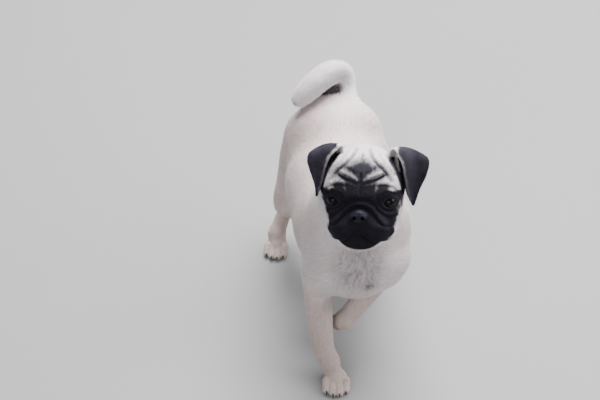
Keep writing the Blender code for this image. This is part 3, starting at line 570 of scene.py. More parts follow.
# The ears' front and back edges, in centimetres from the head's middle, which the marks near them also follow
ears = {
    "edges": {
        1: ([(3.4, -0.8, 4.5), (3.3, -0.9, 5.5), (3.8, -1.0, 6.1), (4.75, -1.5, 5.15), (5.25, -1.8, 4.2),
             (5.55, -2.0, 2.8), (5.8, -2.1, 1.3), (6.1, -2.1, 0.0), (6.48, -2.1, -0.95)],
            [(4.1, 1.5, 2.9), (5.6, 1.3, 4.1), (7.1, 0.6, 4.95), (8.15, -0.1, 4.8), (8.4, -0.5, 4.0),
             (8.05, -1.0, 2.6), (7.35, -1.5, 1.1), (6.95, -1.8, -0.1), (6.68, -2.1, -0.95)]),
        -1: ([(-3.1, -0.8, 4.7), (-2.6, -0.9, 5.7), (-2.75, -1.0, 6.3), (-3.75, -1.5, 5.8), (-4.45, -1.8, 5.0),
              (-4.9, -2.0, 3.7), (-5.2, -2.1, 2.1), (-5.55, -2.1, 0.9), (-5.85, -2.1, -0.1)],
             [(-3.9, 1.5, 3.0), (-5.0, 1.3, 4.3), (-6.2, 0.6, 5.15), (-7.1, 0.0, 4.85), (-7.3, -0.4, 4.0),
              (-6.9, -0.9, 2.85), (-6.4, -1.4, 1.7), (-6.1, -1.8, 0.8), (-6.02, -2.1, -0.1)]),
    },
    "bulge": 0.13, "turnIn": 0.16, "thick": 0.0017, "columns": 26, "steps": 6,
}


# Markings, the same for the skin and the coat: a share of black hair over fawn, and the fawn's own shade;
# painted shade and painted highlights are among them
tones = {  # linear colours
    "fawn": (0.79, 0.67, 0.63), "cream": (0.93, 0.87, 0.86), "warm": (0.60, 0.485, 0.42),
    "black": (0.0135, 0.0125, 0.0185), "pad": (0.008, 0.007, 0.008),
    # the ears' grey is their mottle and their painted sheen
    "velvet": (0.008, 0.0075, 0.012), "earGreySheen": (0.055, 0.050, 0.066), "earTip": (0.13, 0.12, 0.14),
}
paint = {  # how dark each mark is, from 0 to 1
    "cheekStreak": 0.42, "muzzleTop": 0.80, "foreheadLeft": 0.56, "foreheadRight": 0.68, "diamond": 0.72,
    # the throat's base grey and the mark under the tail are painted shade
    "mostSmoke": 0.92, "throat": 0.19, "throatStreaks": 0.13, "whorl": 0.42, "tailLoopShade": 0.82, "ticking": 0.09,
}
maskEdge = {  # how far back the black mask reaches at each height of the head
    "heights": (-6.0, -4.7, -4.2, -3.0, -1.9, -1.0, 0.0),
    "left": (-3.3, -3.6, -3.5, -3.1, -2.7, -2.0, -1.5),
    "right": (-3.3, -3.6, -3.35, -3.45, -3.3, -2.8, -2.25),
}
creaseBlackAndShadeMarks = [  # black hair and painted shade in the creases and brows: path on the head's left half, width and how dark, mirrored
    ([(0.03, -4.2, 3.5), (0.04, -4.6, 2.8), (0.05, -4.75, 1.9), (0.06, -4.85, 1.0)], 0.15, 0.75),
    (lines["frown"], 0.20, 0.50),
    (lines["crown"][:-1], 0.20, 0.66),
    (lines["crownSide"], 0.17, 0.34),
    (lines["crownMiddle"], 0.19, 0.32),
    ([(1.0, 0.6, 6.1), (0.95, -1.1, 5.9)], 0.17, 0.30),
    (lines["brow"], 0.16, 0.45),
    ([(3.0, -4.35, 1.65), (2.75, -4.5, 1.4), (2.4, -4.6, 0.8)], 0.50, 1.0),
    ([(3.6, -4.1, 1.1), (4.3, -3.6, 0.9), (4.9, -2.6, 0.3)], 0.42, 0.65),
    ([(0.0, -5.4, -3.95), (0.85, -5.3, -4.5), (1.65, -5.1, -5.1), (2.5, -4.6, -5.4), (3.2, -4.0, -5.2)],
     0.40, 1.0),
]
highlightMarks = [  # painted highlights: lighter grey along the tops of the mask's folds, pads and chin, where light catches them
    (lines["overNose"][:1] + lines["overNose"][2:], 0.24, 0.085),
    ([(0.7, -5.7, -3.2), (1.7, -5.6, -3.6), (2.7, -5.0, -4.0)], 0.60, 0.070),
    ([(0.0, -5.1, -5.0), (0.9, -5.0, -5.5)], 0.45, 0.100),
    ([(2.3, -4.5, -0.85), (3.1, -4.4, -1.45), (4.1, -3.8, -1.6)], 0.17, 0.110),
    ([(2.5, -4.5, 0.75), (3.3, -4.3, 1.15), (4.2, -3.7, 0.85)], 0.17, 0.130),
]
ridgeHighlightMarks = [  # fawn on the fold ridges between the dark creases, lightened as painted highlights
    (lines["frownRidge"], 0.16, 0.24),
    ([(2.1, -4.7, 2.05), (1.88, -4.75, 1.4)], 0.26, 0.42),
    ([(2.3, -4.55, 2.6), (3.2, -4.25, 2.62), (4.0, -3.7, 2.25), (4.7, -2.8, 1.5)], 0.24, 0.34),
    ([(3.2, -4.2, 1.72), (4.0, -3.9, 1.55)], 0.20, 0.25),
]
cupWedge = [(3.3, -0.7, 5.0), (3.95, -1.5, 4.5), (4.55, -1.9, 3.7), (4.98, -1.9, 2.7), (5.22, -1.7, 1.6),
            (5.36, -1.5, 0.6)]
cheekStreak = [(4.75, -2.9, -0.6), (4.85, -2.5, -1.6), (4.6, -2.8, -2.6)]


def loopShadeShare(points):  # painted shade inside the tail's loop, where the curl shadows the rump
    loop = (points - place(-0.5, 15.4, 27.3)) / place(2.0, 1.2, 1.3)
    return smoothStep(1.2, 0.6, lengths(loop)) * smoothStep(0.0002, 0.0022, tailGap(points))


def maskShare(head, both, grain):  # the black mask over the muzzle, the cheeks and the eyes, with painted highlights on its folds
    x, y, z = (both / cm).T
    left, right = (np.interp(z, maskEdge["heights"], maskEdge[side]) for side in ("left", "right"))
    back = np.where(head[:, 0] > 0, left, right)
    mask = smoothStep(1.0, -0.35, z + 0.9 * grain) * smoothStep(0.28, -0.28, y - back + 0.6 * grain)
    eyeRing = ((x - 3.45) / 1.75) ** 2 + ((z - 0.05) / 1.40) ** 2
    mask = np.maximum(mask, smoothStep(1.25, 0.75, eyeRing + 0.6 * grain) * smoothStep(-1.6, -2.6, y))
    bridge = (x / 2.4) ** 2 + ((z + 0.3) / 1.25) ** 2
    mask = np.maximum(mask, smoothStep(1.6, 0.5, bridge + 0.8 * grain) * (y < -2))
    for path, width, much in highlightMarks:
        mask = mask - much * nearFold(both, path, width * cm) * (0.5 + grain)
    streak = nearFold(head, cheekStreak, 0.0045)
    streak = streak * smoothStep(0.30, 0.65, cloud(head * np.array([1, 1, 0.35]), 0.0022))
    mask = mask - paint["cheekStreak"] * streak
    return np.clip(mask, 0, 1)


def smokeShare(head, both, grain):  # the grey of the forehead, with its diamond and its creases, the creases deepened with painted shade and the ridges lightened with painted highlights
    x, y, z = (both / cm).T
    front = smoothStep(-2.6, -3.6, y)
    smoke = paint["muzzleTop"] * smoothStep(3.5, 1.0, z) * smoothStep(3.6, 0.9, x) * front
    much = np.where(head[:, 0] > 0, paint["foreheadLeft"], paint["foreheadRight"])
    smoke = smoke + much * smoothStep(5.7, 3.5, z) * smoothStep(4.9, 1.9, x) * front
    diamond = np.abs(head[:, 0] / cm - 0.15) / 2.2 + np.abs(z - 4.3) / 1.75
    diamond = smoothStep(1.2, 0.25, diamond + 0.6 * grain) * smoothStep(-1.5, -3.0, y)
    smoke = smoke + paint["diamond"] * diamond
    smoke = smoke + 0.25 * grain * (z > 1)
    for marks, sign in ((creaseBlackAndShadeMarks, 1), (ridgeHighlightMarks, -1)):
        for path, width, much in marks:
            smoke = smoke + sign * much * nearFold(both, path, width * cm)
    return np.clip(smoke, 0, paint["mostSmoke"])


def cupShadeShare(head, both):  # the black hollow under each ear's front edge: the ear's dark inside, darkened as painted shade where the flap shadows the head
    z = head[:, 2] / cm
    cup = smoothStep(0.25, 0.55, nearFold(both, cupWedge, 0.0062)) * smoothStep(5.3, 4.7, z)
    for side, (inner, _) in ears["edges"].items():
        path = smoothPath(inner[4:], 4) * cm
        radii = np.linspace(0.0105 if side > 0 else 0.0060, 0.0020, len(path))
        gap = nearPath(head, path, radii, 0.01)
        cup = np.maximum(cup, smoothStep(0.0016, -0.0004, gap) * smoothStep(5.4, 4.8, z))
    return cup


def darkShare(points):  # how much of the hair is black, with painted shade under the chin, in the creases and in the tail's loop
    head = into(points, headMatrix())
    both = mirrored(head)
    onHead = smoothStep(0.095, 0.085, lengths(head))
    grain = cloud(points, 0.0030) - 0.5
    fawn = (1 - maskShare(head, both, grain)) * (1 - smokeShare(head, both, grain)) * (1 - cupShadeShare(head, both))
    dark = np.maximum((1 - fawn) * onHead, smoothStep(1.5, 1.25, eyeOpening(points)[0]))
    # painted shade under the chin: the throat's base grey, with its streaks of grey hair
    throat = smoothStep(4.4, 1.2, np.abs(points[:, 0] / cm)) * smoothStep(-0.05, -0.09, points[:, 1])
    throat = throat * smoothStep(0.15, 0.20, points[:, 2]) * (1 - onHead)
    streaks = cloud(points * np.array([1, 1, 0.22]), 0.0024)
    sootAndShade = (paint["throat"] + paint["throatStreaks"] * smoothStep(0.30, 0.85, streaks)) * throat
    whorl = paint["whorl"] * np.exp(-(lengths((points - whorlPlace) * np.array([1, 0.5, 0.8])) / 0.0065) ** 2)
    # painted shade inside the tail's loop
    tailLoopShade = paint["tailLoopShade"] * loopShadeShare(points)
    ticking = paint["ticking"] * smoothStep(0.5, 0.8, cloud(points, 0.0012))
    return np.clip(1 - (1 - dark) * (1 - sootAndShade) * (1 - whorl) * (1 - tailLoopShade) * (1 - ticking), 0, 1)


def fawnColour(points):  # the fawn alone, as square roots of linear colours
    head = into(points, headMatrix())
    onHead = smoothStep(0.078, 0.066, lengths(head))
    fawn, cream, warm = (np.sqrt(np.array(tones[name])) for name in ("fawn", "cream", "warm"))
    light = 0.32 + 0.5 * (cloud(points, 0.035) - 0.5) + 0.5 * (cloud(points, 0.0016) - 0.5)
    light = light + 0.9 * tailShare(points) + 0.35 * onHead
    light = light + 0.35 * smoothStep(-0.06, -0.11, points[:, 1]) * smoothStep(0.10, 0.16, points[:, 2])
    colour = fawn + (cream - fawn) * np.clip(light, 0, 1)[:, None]
    low = smoothStep(0.16, 0.06, points[:, 2])
    return colour + (warm - colour) * (0.75 * low)[:, None]


def padShare(points):
    share = np.zeros(len(points))
    for leg in legs.values():
        local = into(points, pawMatrix(leg)) / cm
        under = (lengths(local[:, :2]) < 2.6) & (local[:, 2] > -2)
        share = np.maximum(share, smoothStep(-0.62, -0.80, local[:, 2]) * under)
    return share


def coatColour(points, rng=None):
    dark = darkShare(points)
    if rng is not None:  # each tuft is rather black or rather fawn, as hairs are
        dark = np.clip(dark + 2.6 * (rng.random(len(points)) - 0.5) * dark * (1 - dark), 0, 1)
    colour = fawnColour(points)
    colour = colour + (np.sqrt(np.array(tones["black"])) - colour) * dark[:, None]
    colour = colour + (np.sqrt(np.array(tones["pad"])) - colour) * padShare(points)[:, None]
    return np.clip(colour, 0.02, 1) ** 2


# The ears: each flap is a folded sheet with a wall, its front edge turned in

def earEdges(side):
    return [smoothPath(edge, ears["steps"]) * cm for edge in ears["edges"][side]]


def earOutward(side, inner, outer):  # the way that the flap's outer side faces, row by row
    return unit(np.cross(np.gradient(inner + outer, axis=0), outer - inner) * side)


def earSheet(side):  # places over the flap, column by column, with each one's share across and down
    inner, outer = earEdges(side)
    width = lengths(outer - inner)[:, None]
    across = (outer - inner) / width
    outward = earOutward(side, inner, outer)
    down = np.linspace(0, 1, len(inner))[:, None]
    turnIn = ears["turnIn"] * np.clip((down - 0.3) * 5, 0, 1) * np.clip((1 - down) * 6, 0, 1)
    places, shares = [], []
    for column in np.linspace(0, 1, ears["columns"]):
        share = column * (1 + turnIn) - turnIn
        leaf = share > 0
        over = np.where(leaf, share, share * 0.5)
        stand = np.where(leaf, ears["bulge"] * 4 * share * (1 - share), share * 1.6)
        places.append(inner + (across * over + outward * stand) * width)
        shares.append(share[:, 0])
    return np.array(places), np.array(shares), down[:, 0]


def makeEar(side):
    places, shares, down = earSheet(side)
    columns, rows = shares.shape
    bm = bmesh.new()
    bmesh.ops.create_grid(bm, x_segments=columns - 1, y_segments=rows - 1, size=1)
    acrossLayer, downLayer = (bm.verts.layers.float.new(name) for name in ("across", "down"))
    for vertex in bm.verts:
        i = round((vertex.co.x + 1) / 2 * (columns - 1))
        j = round((vertex.co.y + 1) / 2 * (rows - 1))
        vertex.co = places[i, j]
        vertex[acrossLayer] = shares[i, j]
        vertex[downLayer] = down[j]
    if side < 0:
        bmesh.ops.reverse_faces(bm, faces=bm.faces)
    bmesh.ops.transform(bm, matrix=headMatrix(), verts=bm.verts)
    ear = objectOf("earLeft" if side > 0 else "earRight", bm)
    wall = ear.modifiers.new("wall", "SOLIDIFY")
    wall.thickness = ears["thick"]
    wall.offset = 0
    soft = ear.modifiers.new("soft", "SUBSURF")
    soft.levels = soft.render_levels = 1
    return applyModifiers(ear)


def earColour(side, points, normals, across, down):
    names = ("velvet", "earGreySheen", "cream", "earTip")
    velvet, grey, cream, tip = (np.sqrt(np.array(tones[name])) for name in names)
    left = side > 0
    inner, outer = earEdges(side)
    rows = len(inner)
    outward = earOutward(side, inner, outer) @ np.array(headMatrix())[:3, :3].T
    facing = (normals * outward[np.clip((down * rows).astype(int), 0, rows - 1)]).sum(1)
    outside = smoothStep(-0.3, 0.2, facing)
    fromEdge = across * np.interp(down, np.linspace(0, 1, rows), lengths(outer - inner))
    lit = 0.35 * cloud(points, 0.009) + 0.35 * cloud(points, 0.0014) - 0.15
    # painted sheen: each flap is lighter where light catches it, the left ear near its front edge, the right ear
    # towards its back
    paintedSheen = 0.75 * smoothStep(0.75, 0.15, across) if left else 0.35 + 0.3 * smoothStep(0.35, 0.8, across)
    lit = lit + paintedSheen * (down < 0.9)
    colour = velvet + (grey - velvet) * np.clip(lit, 0, 1)[:, None]
    # the pale front edge, wide over the fold and thin down the flap
    grain = cloud(points, 0.0025) - 0.5
    top = smoothStep(0.30, 0.20, down)
    reach = (0.0014 + (0.0070 if left else 0.0060) * smoothStep(0.32, 0.20, down)
             + 0.03 * smoothStep(0.20, 0.11, down))
    reach = 0.0006 + (reach - 0.0006) * np.maximum(outside, top)
    pale = smoothStep(0.0014, -0.0014, fromEdge - reach + 0.002 * grain) * smoothStep(0.99, 0.9, down)
    pale = pale * np.maximum(fromEdge > -0.0012, top)
    fade = smoothStep(0.22, 0.75, down)[:, None]
    tone = cream * 0.98 * (1 - fade) + tip * fade
    colour = colour + (tone - colour) * pale[:, None]
    inside = smoothStep(-0.02, -0.05, across) * smoothStep(0.20, 0.32, down)
    colour = colour + (velvet - colour) * inside[:, None]
    return np.clip(colour, 0.02, 1) ** 2


# Small parts of the face

def makeNose():
    bm = bmesh.new()
    for (x, y, z), radii, lean in noseForm["balls"]:
        for side in (1, -1) if x else (1,):
            addBall(bm, place(x * side - lean, y, z), place(*radii))
    nose = remeshed(objectOf("noseLeather", bm), noseForm["voxel"])
    press(nose, noseField, 4)
    points = coordinates(nose.data)
    both = mirrored(points) * np.array([1, 0, 1])
    (centre, radius), (start, end, wide, thin) = noseForm["nostril"], noseForm["slit"]
    hole = np.minimum(lengths(both - place(*centre)) - radius * cm,
                      coneField(both, place(*start), place(*end), wide * cm, thin * cm))
    hole = np.where(points[:, 1] < noseForm["front"] * cm, hole, 0.01)
    wings = np.exp(-((hole - 0.0012) / 0.0009) ** 2)  # they stand up round each nostril
    points[:, 1] += noseForm["hole"] * smoothStep(0.0005, -0.0007, hole) - noseForm["wing"] * wings
    setCoordinates(nose.data, points)
    # the hollow marks the nostrils, which the material darkens with painted shade
    hollow = nose.data.attributes.new("hollow", "FLOAT", "POINT")
    hollow.data.foreach_set("value", smoothStep(0.0005, -0.0002, hole).astype(np.float32))
    nose.data.transform(headMatrix())
    return nose


def makeEye(side):
    radius = eye["radius"]
    corneaEdge, corneaRise = eye["cornea"]
    bm = bmesh.new()
    bmesh.ops.create_uvsphere(bm, u_segments=64, v_segments=48, radius=radius)
    layer = bm.verts.layers.float.new("gaze")
    for vertex in bm.verts:
        angle = math.degrees(math.acos(max(-1, min(1, vertex.co.z / radius))))
        vertex[layer] = angle
        if angle < corneaEdge:
            vertex.co *= 1 + corneaRise * (1 - (angle / corneaEdge) ** 2) ** 2
    bmesh.ops.transform(bm, matrix=turned(90, "X"), verts=bm.verts)
    bmesh.ops.transform(bm, matrix=eyeMatrix(side, eye["turn"] + eye["gaze"]), verts=bm.verts)
    return objectOf("eyeLeft" if side > 0 else "eyeRight", bm)


claw = {
    "radius": 0.20, "start": 0.10, "end": 0.95,  # in centimetres, from the front of the toe
    "rings": [(0, 1, 0), (0.25, 0.95, 0.06), (0.5, 0.8, 0.10), (0.7, 0.6, 0.09), (0.85, 0.42, 0.06),
              (0.95, 0.24, 0.02), (1, 0.10, 0)],  # share of the way, thickness and lift
}


def makeClaws():
    bm = bmesh.new()
    for leg in legs.values():
        size = leg["size"]
        for side, front in toe["rows"]:
            x = side * toe["spacing"] / cm * toe["spread"] * size
            base = place(x, -front * size - claw["start"], -0.30 * size)
            tip = place(x * 1.02, -front * size - claw["end"], -0.60 * size)
            rings = []
            for share, thick, lift in claw["rings"]:
                middle = base + (tip - base) * share + place(0, 0, lift)
                made = bmesh.ops.create_circle(bm, segments=12, radius=claw["radius"] * cm * thick)["verts"]
                for vertex in made:
                    across, up, _ = vertex.co
                    vertex.co = Vector(middle) + Vector((across * 0.85, -0.25 * up, up))
                bmesh.ops.transform(bm, matrix=pawMatrix(leg), verts=made)
                rings.append(made)
            for near, far in zip(rings[:-1], rings[1:]):
                loops = {edge for vertex in near + far for edge in vertex.link_edges
                         if all(end in near for end in edge.verts) or all(end in far for end in edge.verts)}
                bmesh.ops.bridge_loops(bm, edges=list(loops))
            bm.faces.new(rings[0])
            bm.faces.new(rings[-1])
    bmesh.ops.recalc_face_normals(bm, faces=bm.faces)
    return objectOf("claws", bm)


# The coat: thin tufts, each a sliver with its root in the skin
tufts = {  # for each kind of hair: length, width and rise in degrees
    "seed": 5,
    "body": (0.0068, 0.00064, 14), "face": (0.0028, 0.00034, 15), "crown": (0.0046, 0.00046, 14),
    "tail": (0.0074, 0.00056, 19), "leg": (0.0046, 0.00050, 13), "ear": (0.0028, 0.00042, 12),
    "cover": 1.70, "most": 48000, "spread": 0.22,  # layers over the skin, tufts in a piece, swing of the hair
    "fade": (0.86, 0.86, 0.97, 1.05),  # the colour at a tuft's four corners, the last its tip: painted shade darkens the root, under the hair above it
    "bakePatch": 0.0015,
}


def laidFlat(flow, normals):  # the same way, along the skin
    return unit(flow - normals * (flow * normals).sum(1)[:, None])


def combDirection(points, normals):  # the way the hair lies
    head = into(points, headMatrix())
    onHead = smoothStep(0.072, 0.056, lengths(head))[:, None]
    turn = np.array(headMatrix())[:3, :3]
    fromNose = (head - place(0, -5.6, -1.4)) @ turn.T
    trunk = np.tile((0.0, 1.0, -0.45), (len(points), 1))
    throat = smoothStep(0.20, 0.27, points[:, 2])[:, None] * smoothStep(0.02, -0.05, points[:, 1])[:, None]
    trunk = trunk + (np.array((0.0, 0.55, -0.85)) - trunk) * throat
    low = smoothStep(0.135, 0.10, points[:, 2])[:, None]
    trunk = trunk + (np.array((0.0, -0.12, -1.0)) - trunk) * low
    path = smoothPath(body["tail"], 4)[:, :3] * cm
    nearest = np.argmin(((points[:, None, :] - path[None, ::2, :]) ** 2).sum(2), axis=1)
    along = unit(np.gradient(path[::2], axis=0)[nearest])
    share = tailShare(points)[:, None]
    flow = trunk * (1 - share) + along * share
    flow = flow * (1 - onHead) + unit(fromNose) * onHead
    opening, outward = eyeOpening(points)
    byEye = smoothStep(2.0, 1.4, opening)[:, None]
    flow = flow * (1 - byEye) + outward * byEye
    return laidFlat(flow, normals)


def kindShares(points):  # how far each kind of hair holds at each place
    head = into(points, headMatrix())
    face = faceShare(head)
    crown = smoothStep(0.074, 0.060, lengths(head)) * (1 - face)
    tail = tailShare(points)
    low = smoothStep(0.13, 0.09, points[:, 2]) * (1 - tail)
    rest = np.clip(1 - face - crown - tail - low, 0, 1)
    return {"face": face, "crown": crown, "tail": tail, "leg": low, "body": rest}


def tuftSizes(points):
    shares = kindShares(points)
    total = sum(shares.values())
    sizes = sum(np.array(tufts[kind])[None, :] * (share / total)[:, None] for kind, share in shares.items())
    toes = smoothStep(0.035, 0.012, points[:, 2])
    sizes[:, 0] *= (1 - 0.4 * toes) * (1 - 0.6 * loopShadeShare(points))
    sizes[:, 0] *= 1 - 0.55 * smoothStep(2.0, 1.2, eyeOpening(points)[0])
    return sizes


def scatter(mesh, sizesOf, seed, weight=None):  # places, normals and mesh weights of the tufts' roots
    rng = np.random.default_rng(seed)
    points, normals, triangles = coordinates(mesh), coordinates(mesh, "normal"), corners(mesh)
    a, b, c = (points[triangles[:, i]] for i in range(3))
    area = lengths(np.cross(b - a, c - a)) / 2
    sizes = sizesOf((a + b + c) / 3)
    count = area * tufts["cover"] / (0.5 * sizes[:, 0] * sizes[:, 1])
    if weight is not None:
        count = count * weight[triangles].mean(1)
    ends = np.cumsum(count)
    picks = np.sort(rng.random(int(ends[-1]))) * ends[-1]
    chosen = np.minimum(np.searchsorted(ends, picks), len(triangles) - 1)
    u, v = rng.random((2, len(chosen)))
    flip = u + v > 1
    u, v = np.where(flip, 1 - u, u), np.where(flip, 1 - v, v)
    weights = np.stack([1 - u - v, u, v], 1)
    corner = triangles[chosen]
    root = (points[corner] * weights[:, :, None]).sum(1)
    normal = unit((normals[corner] * weights[:, :, None]).sum(1))
    return root, normal, corner, weights, rng


def bakePlace(points, normals):  # each zone of the dog has six charts, one for each way that its skin faces
    head = into(points, headMatrix())
    zone = np.full(len(points), 6)
    zone = np.where(points[:, 2] < 0.125, (points[:, 0] > 0) * 1 + (points[:, 1] > 0) * 2, zone)
    zone = np.where(lengths(head) < 0.07, 4, zone)
    zone = np.where(tailShare(points) > 0.1, 5, zone)
    axis = np.argmax(np.abs(normals), axis=1)
    way = axis * 2 + (normals[np.arange(len(points)), axis] > 0)
    uv = np.zeros((len(points), 2))
    for number in range(7):
        inZone = zone == number
        if not inZone.any():
            continue
        low, high = points[inZone].min(0), points[inZone].max(0)
        local = (points[inZone] - low) / (high - low).max() * 0.94 + 0.03
        kept = axis[inZone]
        first = np.where(kept == 0, local[:, 1], local[:, 0])
        second = np.where(kept == 2, local[:, 1], local[:, 2])
        uv[inZone, 0] = (way[inZone] + first) / 6
        uv[inZone, 1] = (number + second) / 7
    return uv


def makeTufts(name, root, normal, flow, sizes, colour, rng):
    count = len(root)
    side = np.cross(normal, flow)
    swing = rng.normal(0, tufts["spread"], count)[:, None]
    flow = flow * np.cos(swing) + side * np.sin(swing)
    side = np.cross(normal, flow)
    length = (sizes[:, 0] * rng.uniform(0.75, 1.25, count))[:, None]
    width = (sizes[:, 1] * rng.uniform(0.8, 1.2, count))[:, None]
    rise = np.radians(sizes[:, 2] * rng.uniform(0.5, 1.5, count))[:, None]
    along = flow * np.cos(rise) + normal * np.sin(rise)
    start = root - normal * width * 0.5
    ridge = start + normal * width * 0.9 + along * length * 0.25
    points = np.stack([start + side * width / 2, start - side * width / 2, ridge, start + along * length], 1)
    points[:, :, 2] = np.maximum(points[:, :, 2], 0.0002)
    shade = normal + side * rng.normal(0, 0.12, count)[:, None] + flow * rng.normal(0.05, 0.10, count)[:, None]
    faces = np.array([[0, 1, 2], [1, 0, 3], [2, 1, 3], [0, 2, 3]])
    mesh = bpy.data.meshes.new(name)
    mesh.vertices.add(count * 4)
    mesh.vertices.foreach_set("co", points.astype(np.float32).ravel())
    loops = (faces[None, :, :] + np.arange(count)[:, None, None] * 4).astype(np.int32)
    mesh.loops.add(count * 12)
    mesh.loops.foreach_set("vertex_index", loops.ravel())
    mesh.polygons.add(count * 4)
    mesh.polygons.foreach_set("loop_start", np.arange(count * 4, dtype=np.int32) * 3)
    mesh.update(calc_edges=True)
    mesh.validate()
    # painted shade darkens each tuft's root under the hair above it; the random factor is the hair's own tone
    fade = np.array(tufts["fade"])[None, :, None] * rng.uniform(0.90, 1.10, count)[:, None, None]
    setColours(mesh, np.clip(colour[:, None, :] * fade, 0, 1).reshape(-1, 3))
    uv = bakePlace(root, normal)
    patch = tufts["bakePatch"] * np.array([[-1, -1], [1, -1], [0, 0], [0, 1]])
    layer = mesh.uv_layers.new(name="OFBake")
    layer.data.foreach_set("uv", (uv[:, None, None, :] + patch[faces][None]).astype(np.float32).ravel())
    mesh.normals_split_custom_set_from_vertices(np.repeat(unit(shade), 4, axis=0).astype(np.float32))
    return newObject(name, mesh)


def makeCoat(skin, skinPoints):
    lidsOpen = smoothStep(1.03, 1.10, eyeOpening(skinPoints)[0])
    roots, normals, _, _, rng = scatter(skin.data, tuftSizes, tufts["seed"], lidsOpen)
    keep = (noseField(into(roots, headMatrix())) > 0.0004) & (padShare(roots) < 0.5)
    keep &= eyeOpening(roots)[0] > 1.06
    roots, normals = roots[keep], normals[keep]
    flow = combDirection(roots, normals)
    sizes = tuftSizes(roots)
    colours = coatColour(roots, rng)
    order = np.argsort(roots[:, 1] + 0.4 * roots[:, 2])
    pieces = math.ceil(len(roots) / tufts["most"])
    for number, part in enumerate(np.array_split(order, pieces)):
        given = (rows[part] for rows in (roots, normals, flow, sizes, colours))
        piece = makeTufts(f"coat{number + 1}", *given, rng)
        finishPiece(piece, coatMaterial, smooth=False)
    print("coat:", len(roots), "tufts in", pieces, "pieces")


def earTuftSizes(points):
    return np.tile(tufts["ear"], (len(points), 1)).astype(float)


def dressEar(side, ear):  # paints the ear, and covers it with tufts that lie towards its tip
    stored = (ear.data.attributes[name].data for name in ("across", "down"))
    across, down = (readAll(values, "value", np.float32, 1)[:, 0].astype(float) for values in stored)
    roots, normals, corner, weights, rng = scatter(ear.data, earTuftSizes, tufts["seed"] + side + 2)
    rootAcross = (across[corner] * weights).sum(1)
    rootDown = (down[corner] * weights).sum(1)
    inner, outer = earEdges(side)
    rows = len(inner)
    middle = outOf((inner + outer) / 2, headMatrix())
    tipward = np.gradient(middle, axis=0)[np.clip((rootDown * (rows - 1)).round().astype(int), 0, rows - 1)]
    setColours(ear.data, earColour(side, coordinates(ear.data), coordinates(ear.data, "normal"), across, down))
    tint = earColour(side, roots, normals, rootAcross, rootDown)
    name = "Left" if side > 0 else "Right"
    flow = laidFlat(tipward, normals)
    fur = makeTufts("earCoat" + name, roots, normals, flow, earTuftSizes(roots), tint, rng)
    finishPiece(ear, skinMaterial, ["ear_left" if side > 0 else "ear_right"])
    finishPiece(fur, coatMaterial, smooth=False)
    print("earCoat" + name + ":", len(roots), "tufts")


# Materials

def feed(tree, node, sockets):  # each socket takes a value, or the output that is linked to it
    for name, value in sockets.items():
        if isinstance(value, bpy.types.NodeSocket):
            tree.links.new(value, node.inputs[name])
        else:
            node.inputs[name].default_value = value


def addNode(tree, kind, sockets={}, **settings):
    node = tree.nodes.new("ShaderNode" + kind)
    for name, value in settings.items():
        setattr(node, name, value)
    feed(tree, node, sockets)
    return node


def addPattern(tree, kind, sockets):  # a texture on the piece's own Object coordinates
    where = addNode(tree, "TexCoord").outputs["Object"]
    return addNode(tree, kind, {"Vector": where, **sockets})


def makeHairGrain():  # fine streaks and speckle of fur, for the skin and for the coat
    group = bpy.data.node_groups.new("hairGrain", "ShaderNodeTree")
    group.interface.new_socket("Colour", in_out="INPUT", socket_type="NodeSocketColor")
    for name, value in (("Scale", 900), ("Contrast", 0.2), ("Bump", 0.3)):
        socket = group.interface.new_socket(name, in_out="INPUT", socket_type="NodeSocketFloat")
        socket.default_value = value
    for name, kind in (("Colour", "Color"), ("Roughness", "Float"), ("Normal", "Vector")):
        group.interface.new_socket(name, in_out="OUTPUT", socket_type="NodeSocket" + kind)
    given = group.nodes.new("NodeGroupInput").outputs
    noise = addPattern(group, "TexNoise", {"Scale": given["Scale"], "Detail": 3, "Roughness": 0.65})
    noise = noise.outputs["Fac"]
    spread = addNode(group, "MapRange", {"Value": noise, "From Min": 0.3, "From Max": 0.7,
                                         "To Min": -0.5, "To Max": 0.5})
    much = addNode(group, "Math", {0: spread.outputs["Result"], 1: given["Contrast"], 2: 1.0},
                   operation="MULTIPLY_ADD")
    tint = addNode(group, "Mix", data_type="RGBA", blend_type="MULTIPLY",
                   sockets={"Factor": 1.0, "A": given["Colour"], "B": much.outputs["Value"]})
    rough = addNode(group, "MapRange", {"Value": noise, "To Min": 0.55, "To Max": 0.80})
    bump = addNode(group, "Bump", {"Strength": given["Bump"], "Distance": 0.0004, "Height": noise})
    feed(group, group.nodes.new("NodeGroupOutput"), {
        "Colour": tint.outputs["Result"], "Roughness": rough.outputs["Result"],
        "Normal": bump.outputs["Normal"]})
    return group


def newMaterial(name):
    material = bpy.data.materials.new(name)
    material.use_nodes = True
    return material, material.node_tree, material.node_tree.nodes["Principled BSDF"]


def makeCoatMaterial(name, grain, scale, contrast, bump, sheen):
    material, tree, surface = newMaterial(name)
    colour = addNode(tree, "Attribute", attribute_name="coatColour").outputs["Color"]
    hair = addNode(tree, "Group", node_tree=grain, sockets={
        "Colour": colour, "Scale": scale, "Contrast": contrast, "Bump": bump}).outputs
    feed(tree, surface, {
        "Base Color": hair["Colour"], "Roughness": hair["Roughness"], "Normal": hair["Normal"],
        "Specular IOR Level": 0.12, "Sheen Weight": sheen, "Sheen Roughness": 0.5, "Sheen Tint": colour})
    return material


